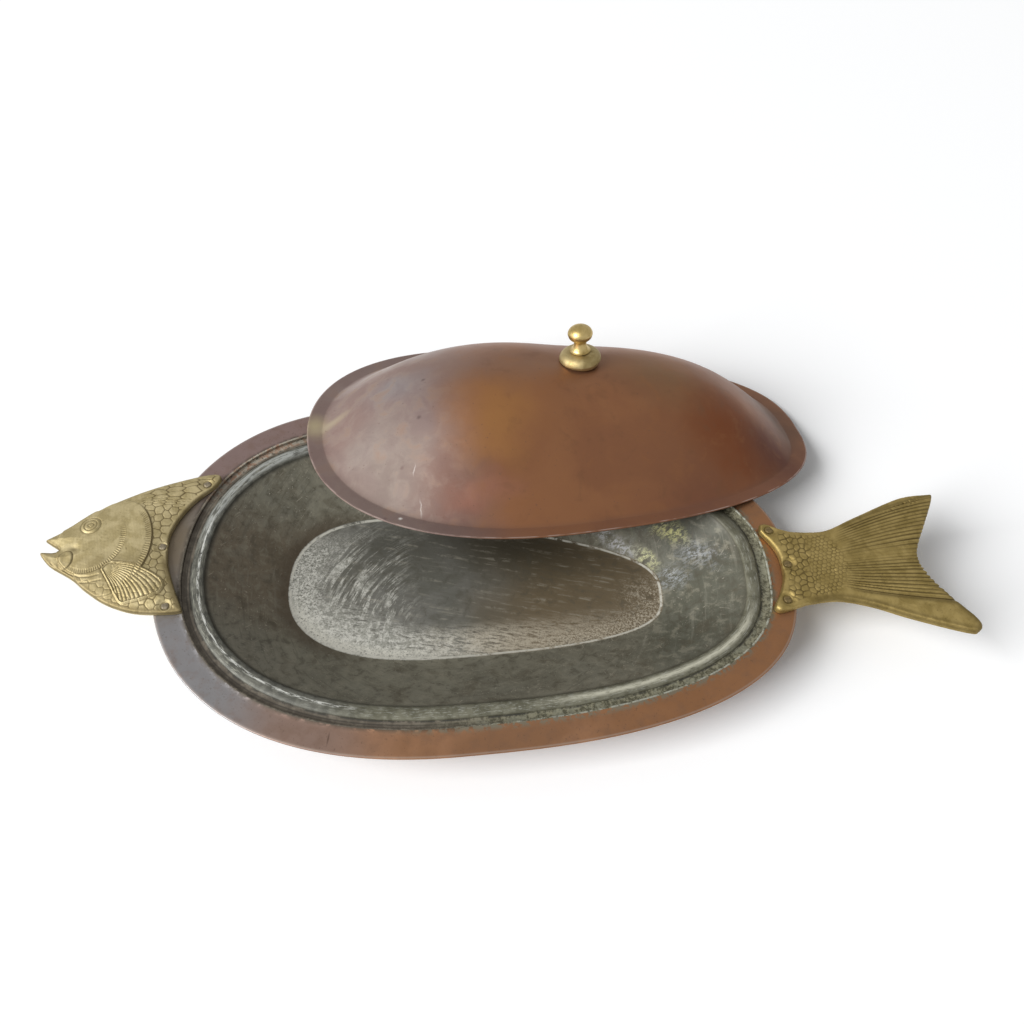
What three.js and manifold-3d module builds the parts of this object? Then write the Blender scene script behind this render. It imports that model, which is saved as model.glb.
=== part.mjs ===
// A fish-shaped serving dish: an oval copper pan, tinned inside, with a cast brass fish head and tail
// riveted to its flange, and a domed copper lid with a brass knob. The lid is taken off and leans on
// the rear of the rim. Millimetres, +Z up, +X from the head to the tail. The origin is the centre of
// the pan's flat underside.

import * as THREE from 'three';
import { mergeVertices } from 'three/addons/utils/BufferGeometryUtils.js';
import Module from 'manifold-3d';

const wasm = await Module();
wasm.setup();

// Pan
const rimLength = 416.8;
const rimWidth = 266.6;
const flangeEnd = 17.2; // width of the flange at the two ends
const flangeSide = 19; // width of the flange along the sides
const rimShift = -3; // from the pan's centre towards the tail
const lipShift = -1.4;
const panHeight = 33.6; // from the table to the top of the flange
const panSheet = 1.5;
const floorLength = 254.4;
const floorWidth = 105.8;
const floorShift = 0.5; // from the pan's centre towards the tail
const floorFillet = 6; // width of the rounding between the floor and the wall
const floorRise = 0.9; // how far the rounding has risen at the foot of the wall
const wallPower = 1.15; // over 1 the wall steepens on its way up
const seatDrop = 2.5; // how deep the lid's seat lies below the flange
const seatWidth = 5.5; // from the step to the foot of the bead
const beadWidth = 9;
const beadHeight = 2; // from the seat to the crest of the bead
const stepLean = 0.3; // how far the step's foot lies inside its top

// Lid
const lidPlayEnd = 8.1; // from the lid's edge to the step, at the two ends
const lidPlaySide = 3.6;
const lidFlangeEnd = 11;
const lidFlangeSide = 9;
const lidHeight = 60.8; // from the underside of the lid's flange to the top of the dome
const lidSheet = 1.2;
const domeEndPower = 3.1; // fullness of the dome along the lid
const domeSidePower = 2; // fullness across the lid
const domeFootPower = 1.2; // over 1 the dome's foot is hollowed
const lidAside = 58.9; // how far the lid lies towards the tail while it is off
const lidBack = 12.3; // how far the lid's centre lies inside the rear of the rim
const lidTurn = 8.5; // degrees that the lid is turned in plan

// Head and tail castings
const headEdge = 3.2; // thickness along the border
const headCrown = 3.4; // how much thicker it is inside
const headCrownWidth = 24; // the way from the border to the full thickness
const gillStep = 0.9;
const eyeRadius = 7.2;
const eyeRise = 0.8;
const finStep = 1;
const tailEdge = 4.4;
const tailCrown = 0.8;
const tailCrownWidth = 8;
const tailRise = 11; // how far the tips of the tail stand above its root
const tailReach = 104.6; // from the rim to where the tail has risen that far
const tailBendPower = 1.6;
const reliefCell = 3; // spacing of the points on the castings' faces

// Rivets
const shankRadius = 1.6;
const rivetHeadRadius = 2.75;
const headRivetSeat = 3.2; // height of the rivet's seat above the casting's underside
const headRivetDome = 0.8;
const tailRivetSeat = 3.6;
const tailRivetDome = 0.7;
const clenchRadius = 2.6; // the hammered end below the flange
const clenchFace = 1.8; // radius of its flat face
const clenchHeight = 1;

// Knob and its fixing
const knobAside = 7.6; // from the lid's centre towards the tail
const knobTilt = 8.5; // degrees that the knob leans towards the head
const knobHeadRadius = 8.5;
const knobHeight = 19.4;
const collarRadius = 7.1;
const collarEdge = 0.8;
const baseRadius = 14.4;
const baseHeight = 8.3;
const baseEdge = 2.3; // height of the base's widest place on the knob's axis
const baseFoot = 12; // radius that the base narrows to below, where the lid doesn't meet it first
const baseFootDrop = 2.5;
const studRadius = 3;
const studInKnob = 10;
const washerRadius = 7;
const washerThickness = 1.2;
const nutAcrossFlats = 10;
const nutThickness = 4;
const studEnd = 1.5; // what stands out of the nut
const studChamfer = 0.6;

// The knob's neck from the collar up to the widest place: radius as a share of the head's, height
// as a share of the knob's.
const knobNeck = [
  [0.66, 0.1],
  [0.55, 0.2],
  [0.5, 0.31],
  [0.53, 0.4],
  [0.72, 0.47],
  [0.91, 0.56],
  [1, 0.68],
];

// Clearances and facets
const gap = 0.3; // between two pieces that touch
const segments = 72; // points round the pan and the lid
const turned = 28; // facets round the knob
const rivetFacets = 12;
const outlineSpacing = 0.3; // the least distance between two points of a casting's outline
const mergeDistance = 1e-4;

const copperFinish = { color: 0x8a5238, roughness: 0.45, metalness: 0.9 };
const lidFinish = { color: 0x84492f, roughness: 0.42, metalness: 0.9 };
const headFinish = { color: 0xb0a066, roughness: 0.42, metalness: 0.9 };
const tailFinish = { color: 0x94793d, roughness: 0.45, metalness: 0.9 };
const knobFinish = { color: 0xb8964a, roughness: 0.3, metalness: 0.95 };
const greyRivet = { color: 0x77746c, roughness: 0.5, metalness: 0.85 };
const brownRivet = { color: 0x7a6238, roughness: 0.5, metalness: 0.85 };
const innerBrass = { color: 0xa5894a, roughness: 0.45, metalness: 0.9 };

const point = (x, y, z) => new THREE.Vector3(x, y, z);

// Outlines of the pan and the lid: ovals that are wide at the head end and taper to the tail.
// Each end has its own power, where 2 is an ellipse and more is squarer.
const rim = {
  halfLength: rimLength / 2,
  halfWidth: rimWidth / 2,
  headPower: 2.13,
  tailPower: 2.78,
  taper: 0.215,
  shift: rimShift,
};
const lip = {
  ...rim,
  halfLength: rim.halfLength - flangeEnd,
  halfWidth: rim.halfWidth - flangeSide,
  headPower: 2.19,
  tailPower: 2.74,
  taper: 0.228,
  shift: lipShift,
};
const floor = {
  halfLength: floorLength / 2,
  halfWidth: floorWidth / 2,
  headPower: 2.4,
  tailPower: 3.18,
  taper: 0.334,
  shift: floorShift,
};
const lidRim = {
  ...lip,
  halfLength: lip.halfLength - lidPlayEnd,
  halfWidth: lip.halfWidth - lidPlaySide,
  shift: 0,
};
const lidFoot = {
  ...lidRim,
  halfLength: lidRim.halfLength - lidFlangeEnd,
  halfWidth: lidRim.halfWidth - lidFlangeSide,
};

function inset(shape, distance) {
  return {
    ...shape,
    halfLength: shape.halfLength - distance,
    halfWidth: shape.halfWidth - distance,
  };
}

function blend(from, to, share) {
  const shape = {};
  for (const key of Object.keys(from)) shape[key] = THREE.MathUtils.lerp(from[key], to[key], share);
  return shape;
}

function shrink(shape, share) {
  return { ...shape, halfLength: shape.halfLength * share, halfWidth: shape.halfWidth * share };
}

function ovalPoint(shape, turn, z) {
  const c = Math.cos(turn);
  const s = Math.sin(turn);
  const power = c < 0 ? shape.headPower : shape.tailPower;
  const reach = (Math.abs(c) ** power + Math.abs(s) ** power) ** (-1 / power);
  const x = shape.halfLength * c * reach + shape.shift;
  const y = shape.halfWidth * s * reach * (1 - shape.taper * c * reach);
  return point(x, y, z);
}

function insideOval(shape, p) {
  const along = (p.x - shape.shift) / shape.halfLength;
  const power = along < 0 ? shape.headPower : shape.tailPower;
  const across = p.y / (shape.halfWidth * (1 - shape.taper * along));
  return Math.abs(along) ** power + Math.abs(across) ** power < 1;
}

// Closed bodies

function meshGeometry(vertices, faces) {
  const geometry = new THREE.BufferGeometry();
  const numbers = vertices.flatMap((p) => [p.x, p.y, p.z]);
  geometry.setAttribute('position', new THREE.Float32BufferAttribute(numbers, 3));
  geometry.setIndex(faces.flat());
  return geometry;
}

function toSolid(geometry) {
  const bare = geometry.clone();
  bare.deleteAttribute('normal');
  bare.deleteAttribute('uv');
  const merged = mergeVertices(bare, mergeDistance);
  const vertProperties = new Float32Array(merged.attributes.position.array);
  const triVerts = new Uint32Array(merged.index.array);
  return new wasm.Manifold(new wasm.Mesh({ numProp: 3, vertProperties, triVerts }));
}

function fromSolid(solid) {
  const mesh = solid.getMesh();
  const geometry = new THREE.BufferGeometry();
  geometry.setAttribute('position', new THREE.BufferAttribute(mesh.vertProperties, 3));
  geometry.setIndex(new THREE.BufferAttribute(mesh.triVerts, 1));
  return geometry;
}

function uprightCylinder(radius, low, high, x, y, facets) {
  const geometry = new THREE.CylinderGeometry(radius, radius, high - low, facets);
  geometry.rotateX(Math.PI / 2);
  geometry.translate(x, y, (low + high) / 2);
  return toSolid(geometry);
}

// The corner between two stretches of a section, moved so that both keep the sheet's thickness.
function mitre(before, at, after, along, thickness) {
  const first = at.clone().sub(before).cross(along).normalize();
  const second = after.clone().sub(at).cross(along).normalize();
  return first.clone().add(second).multiplyScalar(-thickness / (1 + first.dot(second)));
}

// A sheet of even thickness under a surface given as rings from the centre outwards.
function sheetShell(ringPoint, rings, thickness) {
  const turns = Array.from({ length: segments }, (_, j) => (2 * Math.PI * j) / segments);
  const top = [];
  for (let i = 1; i < rings; i++) top.push(turns.map((turn) => ringPoint(i, turn)));
  const centre = ringPoint(0, 0);
  const under = top.map((ring, i) =>
    ring.map((p, j) => {
      const along = ring[(j + 1) % segments].clone().sub(ring[(j + segments - 1) % segments]);
      const before = i === 0 ? centre : top[i - 1][j];
      const after = i === top.length - 1 ? p.clone().multiplyScalar(2).sub(before) : top[i + 1][j];
      return p.clone().add(mitre(before, p, after, along, thickness));
    }),
  );
  const vertices = [centre, point(centre.x, centre.y, centre.z - thickness)];
  const loops = [...top, ...under.reverse()];
  for (const loop of loops) vertices.push(...loop);
  const at = (i, j) => 2 + i * segments + (j % segments);
  const faces = [];
  for (let j = 0; j < segments; j++) {
    faces.push([0, at(0, j), at(0, j + 1)]);
    faces.push([1, at(loops.length - 1, j + 1), at(loops.length - 1, j)]);
    for (let i = 0; i < loops.length - 1; i++) {
      faces.push([at(i, j), at(i + 1, j), at(i + 1, j + 1)]);
      faces.push([at(i, j), at(i + 1, j + 1), at(i, j + 1)]);
    }
  }
  return meshGeometry(vertices, faces);
}

// A cast plate: an outline with an upper face given as heights over the plan. Its underside is flat,
// or follows a bend along X where one is given.
function reliefPlate(outline, upper, bend) {
  const box = new THREE.Box2().setFromPoints(outline).expandByScalar(reliefCell);
  const size = box.getSize(new THREE.Vector2());
  const columns = Math.ceil(size.x / reliefCell);
  const rows = Math.ceil(size.y / reliefCell);
  const vertices = [];
  for (const height of [upper, () => -panHeight]) {
    for (let i = 0; i <= columns; i++) {
      for (let j = 0; j <= rows; j++) {
        const x = box.min.x + (size.x * i) / columns;
        const y = box.min.y + (size.y * j) / rows;
        vertices.push(point(x, y, height(x, y)));
      }
    }
  }
  const layer = vertices.length / 2;
  const at = (i, j) => i * (rows + 1) + j;
  const faces = [];
  const quad = (a, b, c, d) => faces.push([a, b, c], [a, c, d]);
  for (let i = 0; i < columns; i++) {
    for (let j = 0; j < rows; j++) {
      const corners = [at(i, j), at(i + 1, j), at(i + 1, j + 1), at(i, j + 1)];
      quad(...corners);
      quad(...corners.map((n) => n + layer).reverse());
    }
    quad(at(i, 0) + layer, at(i + 1, 0) + layer, at(i + 1, 0), at(i, 0));
    quad(at(i + 1, rows) + layer, at(i, rows) + layer, at(i, rows), at(i + 1, rows));
  }
  for (let j = 0; j < rows; j++) {
    quad(at(0, j + 1) + layer, at(0, j) + layer, at(0, j), at(0, j + 1));
    quad(at(columns, j) + layer, at(columns, j + 1) + layer, at(columns, j + 1), at(columns, j));
  }
  const tall = 2 * panHeight;
  const prism = new THREE.ExtrudeGeometry(new THREE.Shape(outline), { depth: tall, bevelEnabled: false });
  const plate = toSolid(meshGeometry(vertices, faces)).intersect(toSolid(prism));
  return bend ? plate.subtract(hollowUnder(bend, box, tall)) : plate;
}

// The room under a bent plate, from below its flat part up to the bend.
function hollowUnder(bend, box, depth) {
  const steps = 14;
  const section = new THREE.Shape();
  section.moveTo(box.min.x, -depth);
  for (let i = 0; i <= steps; i++) {
    const x = (box.max.x * i) / steps;
    section.lineTo(x, bend(x));
  }
  section.lineTo(box.max.x, -depth);
  section.closePath();
  const hollow = new THREE.ExtrudeGeometry(section, { depth: box.max.y - box.min.y, bevelEnabled: false });
  hollow.rotateX(Math.PI / 2);
  hollow.translate(0, box.max.y, 0);
  return toSolid(hollow);
}

// A smooth closed outline: each stretch is a spline through its points, and stretches meet at corners.
function splineOutline(stretches) {
  const [start, ...first] = stretches[0];
  const shape = new THREE.Path();
  shape.moveTo(...start);
  for (const stretch of [first, ...stretches.slice(1)]) {
    shape.splineThru(stretch.map(([x, y]) => new THREE.Vector2(x, y)));
  }
  const points = [];
  for (const p of shape.getPoints(3)) {
    const last = points[points.length - 1];
    if (!last || last.distanceTo(p) > outlineSpacing) points.push(p);
  }
  if (points[0].distanceTo(points[points.length - 1]) < outlineSpacing) points.pop();
  return points;
}

// How far a place lies inside an outline; 0 on the border and outside.
function depthInside(outline, x, y) {
  let nearest = Infinity;
  let inside = false;
  outline.forEach((a, i) => {
    const b = outline[(i + 1) % outline.length];
    const side = b.clone().sub(a);
    const share = ((x - a.x) * side.x + (y - a.y) * side.y) / side.lengthSq();
    const foot = a.clone().addScaledVector(side, THREE.MathUtils.clamp(share, 0, 1));
    nearest = Math.min(nearest, foot.distanceTo(new THREE.Vector2(x, y)));
    if (a.y > y !== b.y > y && x < ((b.x - a.x) * (y - a.y)) / (b.y - a.y) + a.x) inside = !inside;
  });
  return inside ? nearest : 0;
}

const crownShare = (depth, width) => 1 - (1 - Math.min(depth / width, 1)) ** 2;

// Pan

function panStations() {
  const stations = [];
  const add = (shape, z) => stations.push({ shape, z });
  const seatZ = panHeight - seatDrop;
  const beadOuter = inset(lip, seatWidth);
  const beadInner = inset(lip, seatWidth + beadWidth);
  add(shrink(floor, 0), panSheet);
  add(inset(floor, floorFillet), panSheet);
  const wallShares = [0, 0.16, 0.4, 0.7];
  for (const share of wallShares) {
    const z = THREE.MathUtils.lerp(panSheet + floorRise, seatZ, share ** wallPower);
    add(blend(floor, beadInner, share), z);
  }
  const arcSteps = 5;
  for (let i = 0; i <= arcSteps; i++) {
    const turn = (Math.PI * i) / arcSteps;
    const across = (beadWidth / 2) * (1 + Math.cos(turn));
    add(inset(beadOuter, across), seatZ + beadHeight * Math.sin(turn));
  }
  add(inset(lip, stepLean), seatZ);
  add(lip, panHeight);
  add(rim, panHeight);
  return stations;
}

function makePan() {
  const stations = panStations();
  const geometry = sheetShell(
    (i, turn) => ovalPoint(stations[i].shape, turn, stations[i].z),
    stations.length,
    panSheet,
  );
  let pan = toSolid(geometry);
  for (const [x, y] of [...headRivets, ...tailRivets]) {
    const hole = uprightCylinder(shankRadius + gap, panHeight / 2, 2 * panHeight, x, y, rivetFacets);
    pan = pan.subtract(hole);
  }
  return fromSolid(pan);
}

// Lid

// Height of the dome over the lid's flange, where share is 0 at the centre and 1 at the dome's foot.
function domeHeight(share, turn) {
  const power = domeEndPower * Math.cos(turn) ** 2 + domeSidePower * Math.sin(turn) ** 2;
  const rise = lidHeight - lidSheet;
  return lidSheet + rise * (1 - share ** power) ** domeFootPower;
}

function makeLidShell() {
  const domeRings = 10;
  const crowding = 1.6; // draws the rings together towards the dome's foot
  const ringPoint = (i, turn) => {
    if (i > domeRings) return ovalPoint(lidRim, turn, lidSheet);
    const share = 1 - (1 - i / domeRings) ** crowding;
    return ovalPoint(shrink(lidFoot, share), turn, domeHeight(share, turn));
  };
  const shell = toSolid(sheetShell(ringPoint, domeRings + 2, lidSheet));
  const hole = uprightCylinder(studRadius + 2 * gap, lidHeight / 2, 2 * lidHeight, knobAside, 0, turned);
  return fromSolid(shell.subtract(hole));
}

// Where the lid lies while it is off: it bears on the rear of the rim at two places and its own rear
// edge bears on the table. Its height and its two slopes follow from these three bearings.
function leaningPlace() {
  const place = new THREE.Object3D();
  place.rotation.order = 'ZXY';
  place.rotation.z = THREE.MathUtils.degToRad(lidTurn);
  place.position.set(lidAside, rim.halfWidth - lidBack, panHeight);
  const samples = 1440;
  const edges = [];
  for (const shape of [lidRim, lidFoot]) {
    for (let j = 0; j < samples; j++) edges.push(ovalPoint(shape, (2 * Math.PI * j) / samples, 0));
  }
  const rounds = 30;
  for (let round = 0; round < rounds; round++) {
    place.updateMatrix();
    const lowest = { left: null, right: null, table: null };
    for (const edge of edges) {
      const p = edge.clone().applyMatrix4(place.matrix);
      const overRim = insideOval(rim, p);
      const side = overRim ? (p.x < place.position.x ? 'left' : 'right') : 'table';
      if (!lowest[side] || p.z < lowest[side].z) lowest[side] = p;
    }
    const bearings = [lowest.left, lowest.right, lowest.table];
    const wanted = [panHeight + gap, panHeight + gap, gap];
    const arms = bearings.map((p) => [1, p.y - place.position.y, place.position.x - p.x]);
    const change = new THREE.Vector3(...bearings.map((p, i) => wanted[i] - p.z));
    change.applyMatrix3(new THREE.Matrix3().set(...arms.flat()).invert());
    place.position.z += change.x;
    place.rotation.x += change.y;
    place.rotation.y += change.z;
  }
  return place;
}

// Knob on the lid, with the stud, washer and nut that hold it

const knobLean = THREE.MathUtils.degToRad(knobTilt);

function latheFromRadii(rows, facets) {
  const geometry = new THREE.LatheGeometry(rows.map(([r, z]) => new THREE.Vector2(r, z)), facets);
  geometry.rotateX(Math.PI / 2);
  return fromSolid(toSolid(geometry));
}

// A quarter round of a turned outline, from its widest place up to its top.
function quarterRound(inner, outer, low, high, steps) {
  return Array.from({ length: steps + 1 }, (_, i) => {
    const turn = (Math.PI * i) / (2 * steps);
    return [inner + (outer - inner) * Math.cos(turn), low + (high - low) * Math.sin(turn)];
  });
}

function makeKnob() {
  const bore = studRadius + gap;
  const neck = knobNeck.map(([radius, height]) => [knobHeadRadius * radius, knobHeight * height]);
  const [, widest] = neck.pop();
  return latheFromRadii(
    [
      [0, studInKnob + gap],
      [bore, studInKnob + gap],
      [bore, 0],
      [collarRadius, 0],
      [collarRadius, collarEdge],
      ...neck,
      ...quarterRound(0, knobHeadRadius, widest, knobHeight, 5),
    ],
    turned,
  );
}

// The base is cut off below along the lid's top, so that it stands on the lid although it leans.
function makeKnobBase() {
  const bore = studRadius + gap;
  const uncut = latheFromRadii(
    [
      [bore, -baseFootDrop],
      [baseFoot, -baseFootDrop],
      ...quarterRound(collarRadius, baseRadius, baseEdge, baseHeight, 4),
      [bore, baseHeight],
      [bore, -baseFootDrop],
    ],
    turned,
  );
  const lidNormal = [Math.sin(knobLean), 0, Math.cos(knobLean)];
  return fromSolid(toSolid(uncut).trimByPlane(lidNormal, 0));
}

function makeStud(length) {
  return latheFromRadii(
    [
      [0, 0],
      [studRadius - studChamfer, 0],
      [studRadius, studChamfer],
      [studRadius, length - studChamfer],
      [studRadius - studChamfer, length],
      [0, length],
    ],
    turned,
  );
}

function makeWasher() {
  const bore = studRadius + gap;
  const corners = [
    [bore, 0],
    [washerRadius, 0],
    [washerRadius, washerThickness],
    [bore, washerThickness],
    [bore, 0],
  ];
  return latheFromRadii(corners, turned);
}

function makeNut() {
  const cornerRadius = nutAcrossFlats / Math.sqrt(3);
  const corners = Array.from({ length: 6 }, (_, i) => {
    const turn = (Math.PI * i) / 3;
    return new THREE.Vector2(cornerRadius * Math.cos(turn), cornerRadius * Math.sin(turn));
  });
  const outline = new THREE.Shape(corners);
  outline.holes.push(new THREE.Path().absarc(0, 0, studRadius + gap, 0, 2 * Math.PI, true));
  const settings = { depth: nutThickness, bevelEnabled: false, curveSegments: rivetFacets };
  return fromSolid(toSolid(new THREE.ExtrudeGeometry(outline, settings)));
}

// Castings. Both outlines are measured from the end of the rim that they are riveted to.

const headX = rim.shift - rim.halfLength;
const tailX = rim.shift + rim.halfLength;
const castingZ = panHeight + gap;

const headStretches = [
  [[-75.8, 4.6], [-63, 14.6], [-47.6, 29.6], [-27.4, 43], [-8, 53], [17, 62.6], [28.4, 65.3]],
  [[32.4, 63.4], [30.4, 55.4], [15.8, 37.4], [7.2, 15], [9, -7], [17.6, -28.2], [25.2, -42.6]],
  [[23.6, -46.8], [-2, -48.2], [-22.8, -42.8], [-39.4, -33.2], [-51, -24.4], [-67.4, -15.4], [-75.4, -8]],
  [[-76.4, -5.2], [-68.6, -5]],
  [[-64.2, -3.4], [-67, -0.8], [-71.4, 1.8], [-75.8, 4.6]],
];
const tailStretches = [
  [[-16.4, 34.6], [-12, 35.2], [-2, 31.2], [6.4, 29.6], [25, 30.6], [45.4, 40.6], [76.2, 54.8], [94.6, 57]],
  [[98.2, 54.4], [89.2, 34.4], [80.8, 16.8], [78.6, 6.6], [81.8, -5.4], [91.4, -23.6], [99.8, -36.4]],
  [[102.2, -42.4], [100.4, -46.6], [94, -46.8], [64.4, -35.6], [43.8, -26.8], [24, -22.4], [4.6, -25.2]],
  [[-10.6, -31.2], [-15.4, -30.6], [-16, -26.6], [-10.8, -16.6], [-7, -3], [-8.4, 14], [-17, 29.6]],
];
const headRivets = [[24.4, 55.2], [4.2, 2], [15.2, -43.2]].map(([x, y]) => [headX + x, y]);
const tailRivets = [[-11, 30], [-3.2, 3.6], [-8, -23.4]].map(([x, y]) => [tailX + x, y]);

// Oval lines on the head: the gill cover with its inner plate, and the eye.
const gillCover = { x: -28.6, y: 0, alongX: 25.5, alongY: 38 };
const innerGill = { x: -43.6, y: 3.6, alongX: 23, alongY: 26 };
const eye = { x: -46.7, y: 15.5, alongX: eyeRadius, alongY: eyeRadius };
const finStretches = [
  [[-31.8, -19], [-26.6, -13.4], [-13.3, -14], [-2.5, -17.2], [7.7, -22.7], [11.4, -28.4], [10.2, -34.2]],
  [[3.3, -38.5], [-6.8, -41.7], [-13.4, -43.1], [-18.6, -37.6], [-24.9, -28.6], [-31.8, -19]],
];

const ovalShare = (oval, x, y) => Math.hypot((x - oval.x) / oval.alongX, (y - oval.y) / oval.alongY);

// 1 well inside a border, 0 outside it, with a soft step of the given width between.
const softStep = (inwards, width) => THREE.MathUtils.smoothstep(inwards, -width / 2, width / 2);

function makeHead() {
  const outline = splineOutline(headStretches);
  const fin = splineOutline(finStretches);
  const upper = (x, y) => {
    const crown = headCrown * crownShare(depthInside(outline, x, y), headCrownWidth);
    const cover = softStep((1 - ovalShare(gillCover, x, y)) * gillCover.alongX, reliefCell);
    const inner = softStep((1 - ovalShare(innerGill, x, y)) * innerGill.alongX, reliefCell);
    const eyeball = softStep((1 - ovalShare(eye, x, y)) * eye.alongX, reliefCell);
    const raised = Math.max(gillStep * Math.max(cover, inner), finStep * Math.min(depthInside(fin, x, y), 1));
    return headEdge + crown + raised + eyeRise * eyeball;
  };
  return drilled(reliefPlate(outline, upper), headRivets, headX, headRivetSeat);
}

function makeTail() {
  const outline = splineOutline(tailStretches);
  const bend = (x) => tailRise * Math.max(x / tailReach, 0) ** tailBendPower;
  const upper = (x, y) => {
    const crown = tailCrown * crownShare(depthInside(outline, x, y), tailCrownWidth);
    return bend(x) + tailEdge + crown;
  };
  return drilled(reliefPlate(outline, upper, bend), tailRivets, tailX, tailRivetSeat);
}

// Rivet holes with a flat seat sunk into the casting's face.
function drilled(plate, rivets, plateX, seat) {
  let solid = plate;
  for (const [x, y] of rivets) {
    const hole = uprightCylinder(shankRadius + gap, -panHeight, panHeight, x - plateX, y, rivetFacets);
    const sink = uprightCylinder(rivetHeadRadius + gap, seat, panHeight, x - plateX, y, rivetFacets);
    solid = solid.subtract(hole).subtract(sink);
  }
  return fromSolid(solid);
}

// A rivet from its head's seat down: the shank runs through casting and flange to the hammered end.
function makeRivet(seat, dome) {
  const grip = seat + gap + panSheet + 2 * gap;
  return latheFromRadii(
    [
      [0, -grip - clenchHeight],
      [clenchFace, -grip - clenchHeight],
      [clenchRadius, -grip],
      [shankRadius, -grip],
      [shankRadius, 0],
      ...quarterRound(0, rivetHeadRadius, 0, dome, 3),
    ],
    rivetFacets,
  );
}

// Assembly

function addPiece(parent, name, geometry, finish) {
  const mesh = new THREE.Mesh(geometry, new THREE.MeshStandardMaterial(finish));
  mesh.name = name;
  parent.add(mesh);
  return mesh;
}

const dish = new THREE.Group();

addPiece(dish, 'pan', makePan(), copperFinish);
addPiece(dish, 'head_handle', makeHead(), headFinish).position.set(headX, 0, castingZ);
addPiece(dish, 'tail_handle', makeTail(), tailFinish).position.set(tailX, 0, castingZ);

function addRivets(names, rivets, seat, dome, finish) {
  rivets.forEach(([x, y], i) => {
    const rivet = addPiece(dish, names + (i + 1), makeRivet(seat, dome), finish);
    rivet.position.set(x, y, castingZ + seat + gap);
  });
}
addRivets('head_rivet_', headRivets, headRivetSeat, headRivetDome, greyRivet);
addRivets('tail_rivet_', tailRivets, tailRivetSeat, tailRivetDome, brownRivet);

const lid = leaningPlace();
dish.add(lid);
addPiece(lid, 'lid_shell', makeLidShell(), lidFinish);

// The knob's axis leans about the middle of the lid's sheet.
const fixing = new THREE.Group();
fixing.position.set(knobAside, 0, lidHeight - lidSheet / 2);
fixing.rotation.y = -knobLean;
lid.add(fixing);

const baseZ = (lidSheet / 2 + gap) / Math.cos(knobLean);
const knobZ = baseZ + baseHeight + gap;
const washerShare = washerRadius / lidFoot.halfWidth;
const domeDrop = lidHeight - domeHeight(washerShare, Math.PI / 2);
const washerTop = -domeDrop - lidSheet / 2 - gap - washerRadius * Math.sin(knobLean);
const nutTop = washerTop - washerThickness - gap;
const studLow = nutTop - nutThickness - studEnd;
const studLength = knobZ + studInKnob - studLow;

addPiece(fixing, 'knob_base', makeKnobBase(), knobFinish).position.z = baseZ;
addPiece(fixing, 'knob', makeKnob(), knobFinish).position.z = knobZ;
addPiece(fixing, 'knob_stud', makeStud(studLength), innerBrass).position.z = studLow;
addPiece(fixing, 'knob_washer', makeWasher(), innerBrass).position.z = washerTop - washerThickness;
addPiece(fixing, 'knob_nut', makeNut(), innerBrass).position.z = nutTop - nutThickness;

export default dish;
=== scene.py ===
"""Looks of a fish-shaped serving dish: an oval copper pan, tinned inside, with a cast brass head and
tail, and its domed copper lid, which leans on the rear of the rim.

Sizes are in millimetres until a mesh is made. +X runs from the head to the tail and +Z is up.
"""

import math
from dataclasses import dataclass, replace
from functools import partial, reduce
from types import SimpleNamespace

import bpy
import numpy as np
from mathutils import Euler, Matrix, Vector
from mathutils.geometry import delaunay_2d_cdt


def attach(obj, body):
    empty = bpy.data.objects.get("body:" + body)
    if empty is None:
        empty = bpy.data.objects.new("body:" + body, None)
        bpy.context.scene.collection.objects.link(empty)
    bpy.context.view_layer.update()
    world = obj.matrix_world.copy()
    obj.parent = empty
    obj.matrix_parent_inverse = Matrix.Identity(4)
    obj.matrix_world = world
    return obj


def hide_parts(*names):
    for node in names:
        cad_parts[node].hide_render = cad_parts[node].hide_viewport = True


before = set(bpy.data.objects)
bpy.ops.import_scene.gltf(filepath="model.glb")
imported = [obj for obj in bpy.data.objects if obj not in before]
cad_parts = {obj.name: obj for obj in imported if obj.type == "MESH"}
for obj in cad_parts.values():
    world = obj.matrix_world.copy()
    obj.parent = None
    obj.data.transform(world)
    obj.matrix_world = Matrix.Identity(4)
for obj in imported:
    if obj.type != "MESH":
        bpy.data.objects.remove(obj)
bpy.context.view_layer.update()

MM = 0.001

# Camera, from the photograph
PHOTO_SIZE = 1024
PHOTO_CENTRE = (426.1, 505.6)
FOCAL_PIXELS = 959.9
SENSOR = 36
CLIP = (0.01, 50)
CAMERA_AZIMUTH = 3.59
CAMERA_ELEVATION = 53.10
CAMERA_ROLL = -1.20
CAMERA_DISTANCE = 659.1
LOOK_AT = Vector((-34.4, 45.4, 33.6))

# Light, in metres and watts
KEY_PLACE = Vector((-16.8, -8.0, 12.8))
KEY_SIZE = 13.6
KEY_POWER = 7600
KEY_COLOUR = (0.98, 0.99, 1)
LIT_PLACE = Vector((0, 0.05, 0.03))
WORLD_LIGHT = 0.31
WORLD_SEEN = {"Is Glossy Ray": 0.6, "Is Camera Ray": 1.0}

# White ground under the dish; its reach is from its middle to its sides
GROUND_REACH = 3000
GROUND_DROP = 0.2
GROUND_WHITE = 0.98
GROUND_GLOW = 0.06

# Pan
PAN_HEIGHT = 33.6
PAN_SHEET = 1.5
FLANGE_END = 17.2
FLANGE_SIDE = 19
FLOOR_FILLET = 6
FLOOR_RISE = 0.9
WALL_POWER = 1.15
SEAT_DROP = 2.5
SEAT_WIDTH = 5.5
SEAT_DIP = 0.35
SEAT_Z = PAN_HEIGHT - SEAT_DROP
BEAD_WIDTH = 9
BEAD_HEIGHT = 2
STEP_LEAN = 0.3
STEP_FOOT = 0.5
LIP_EDGE = 0.25
LIP_WIDTH = 1.6

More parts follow.
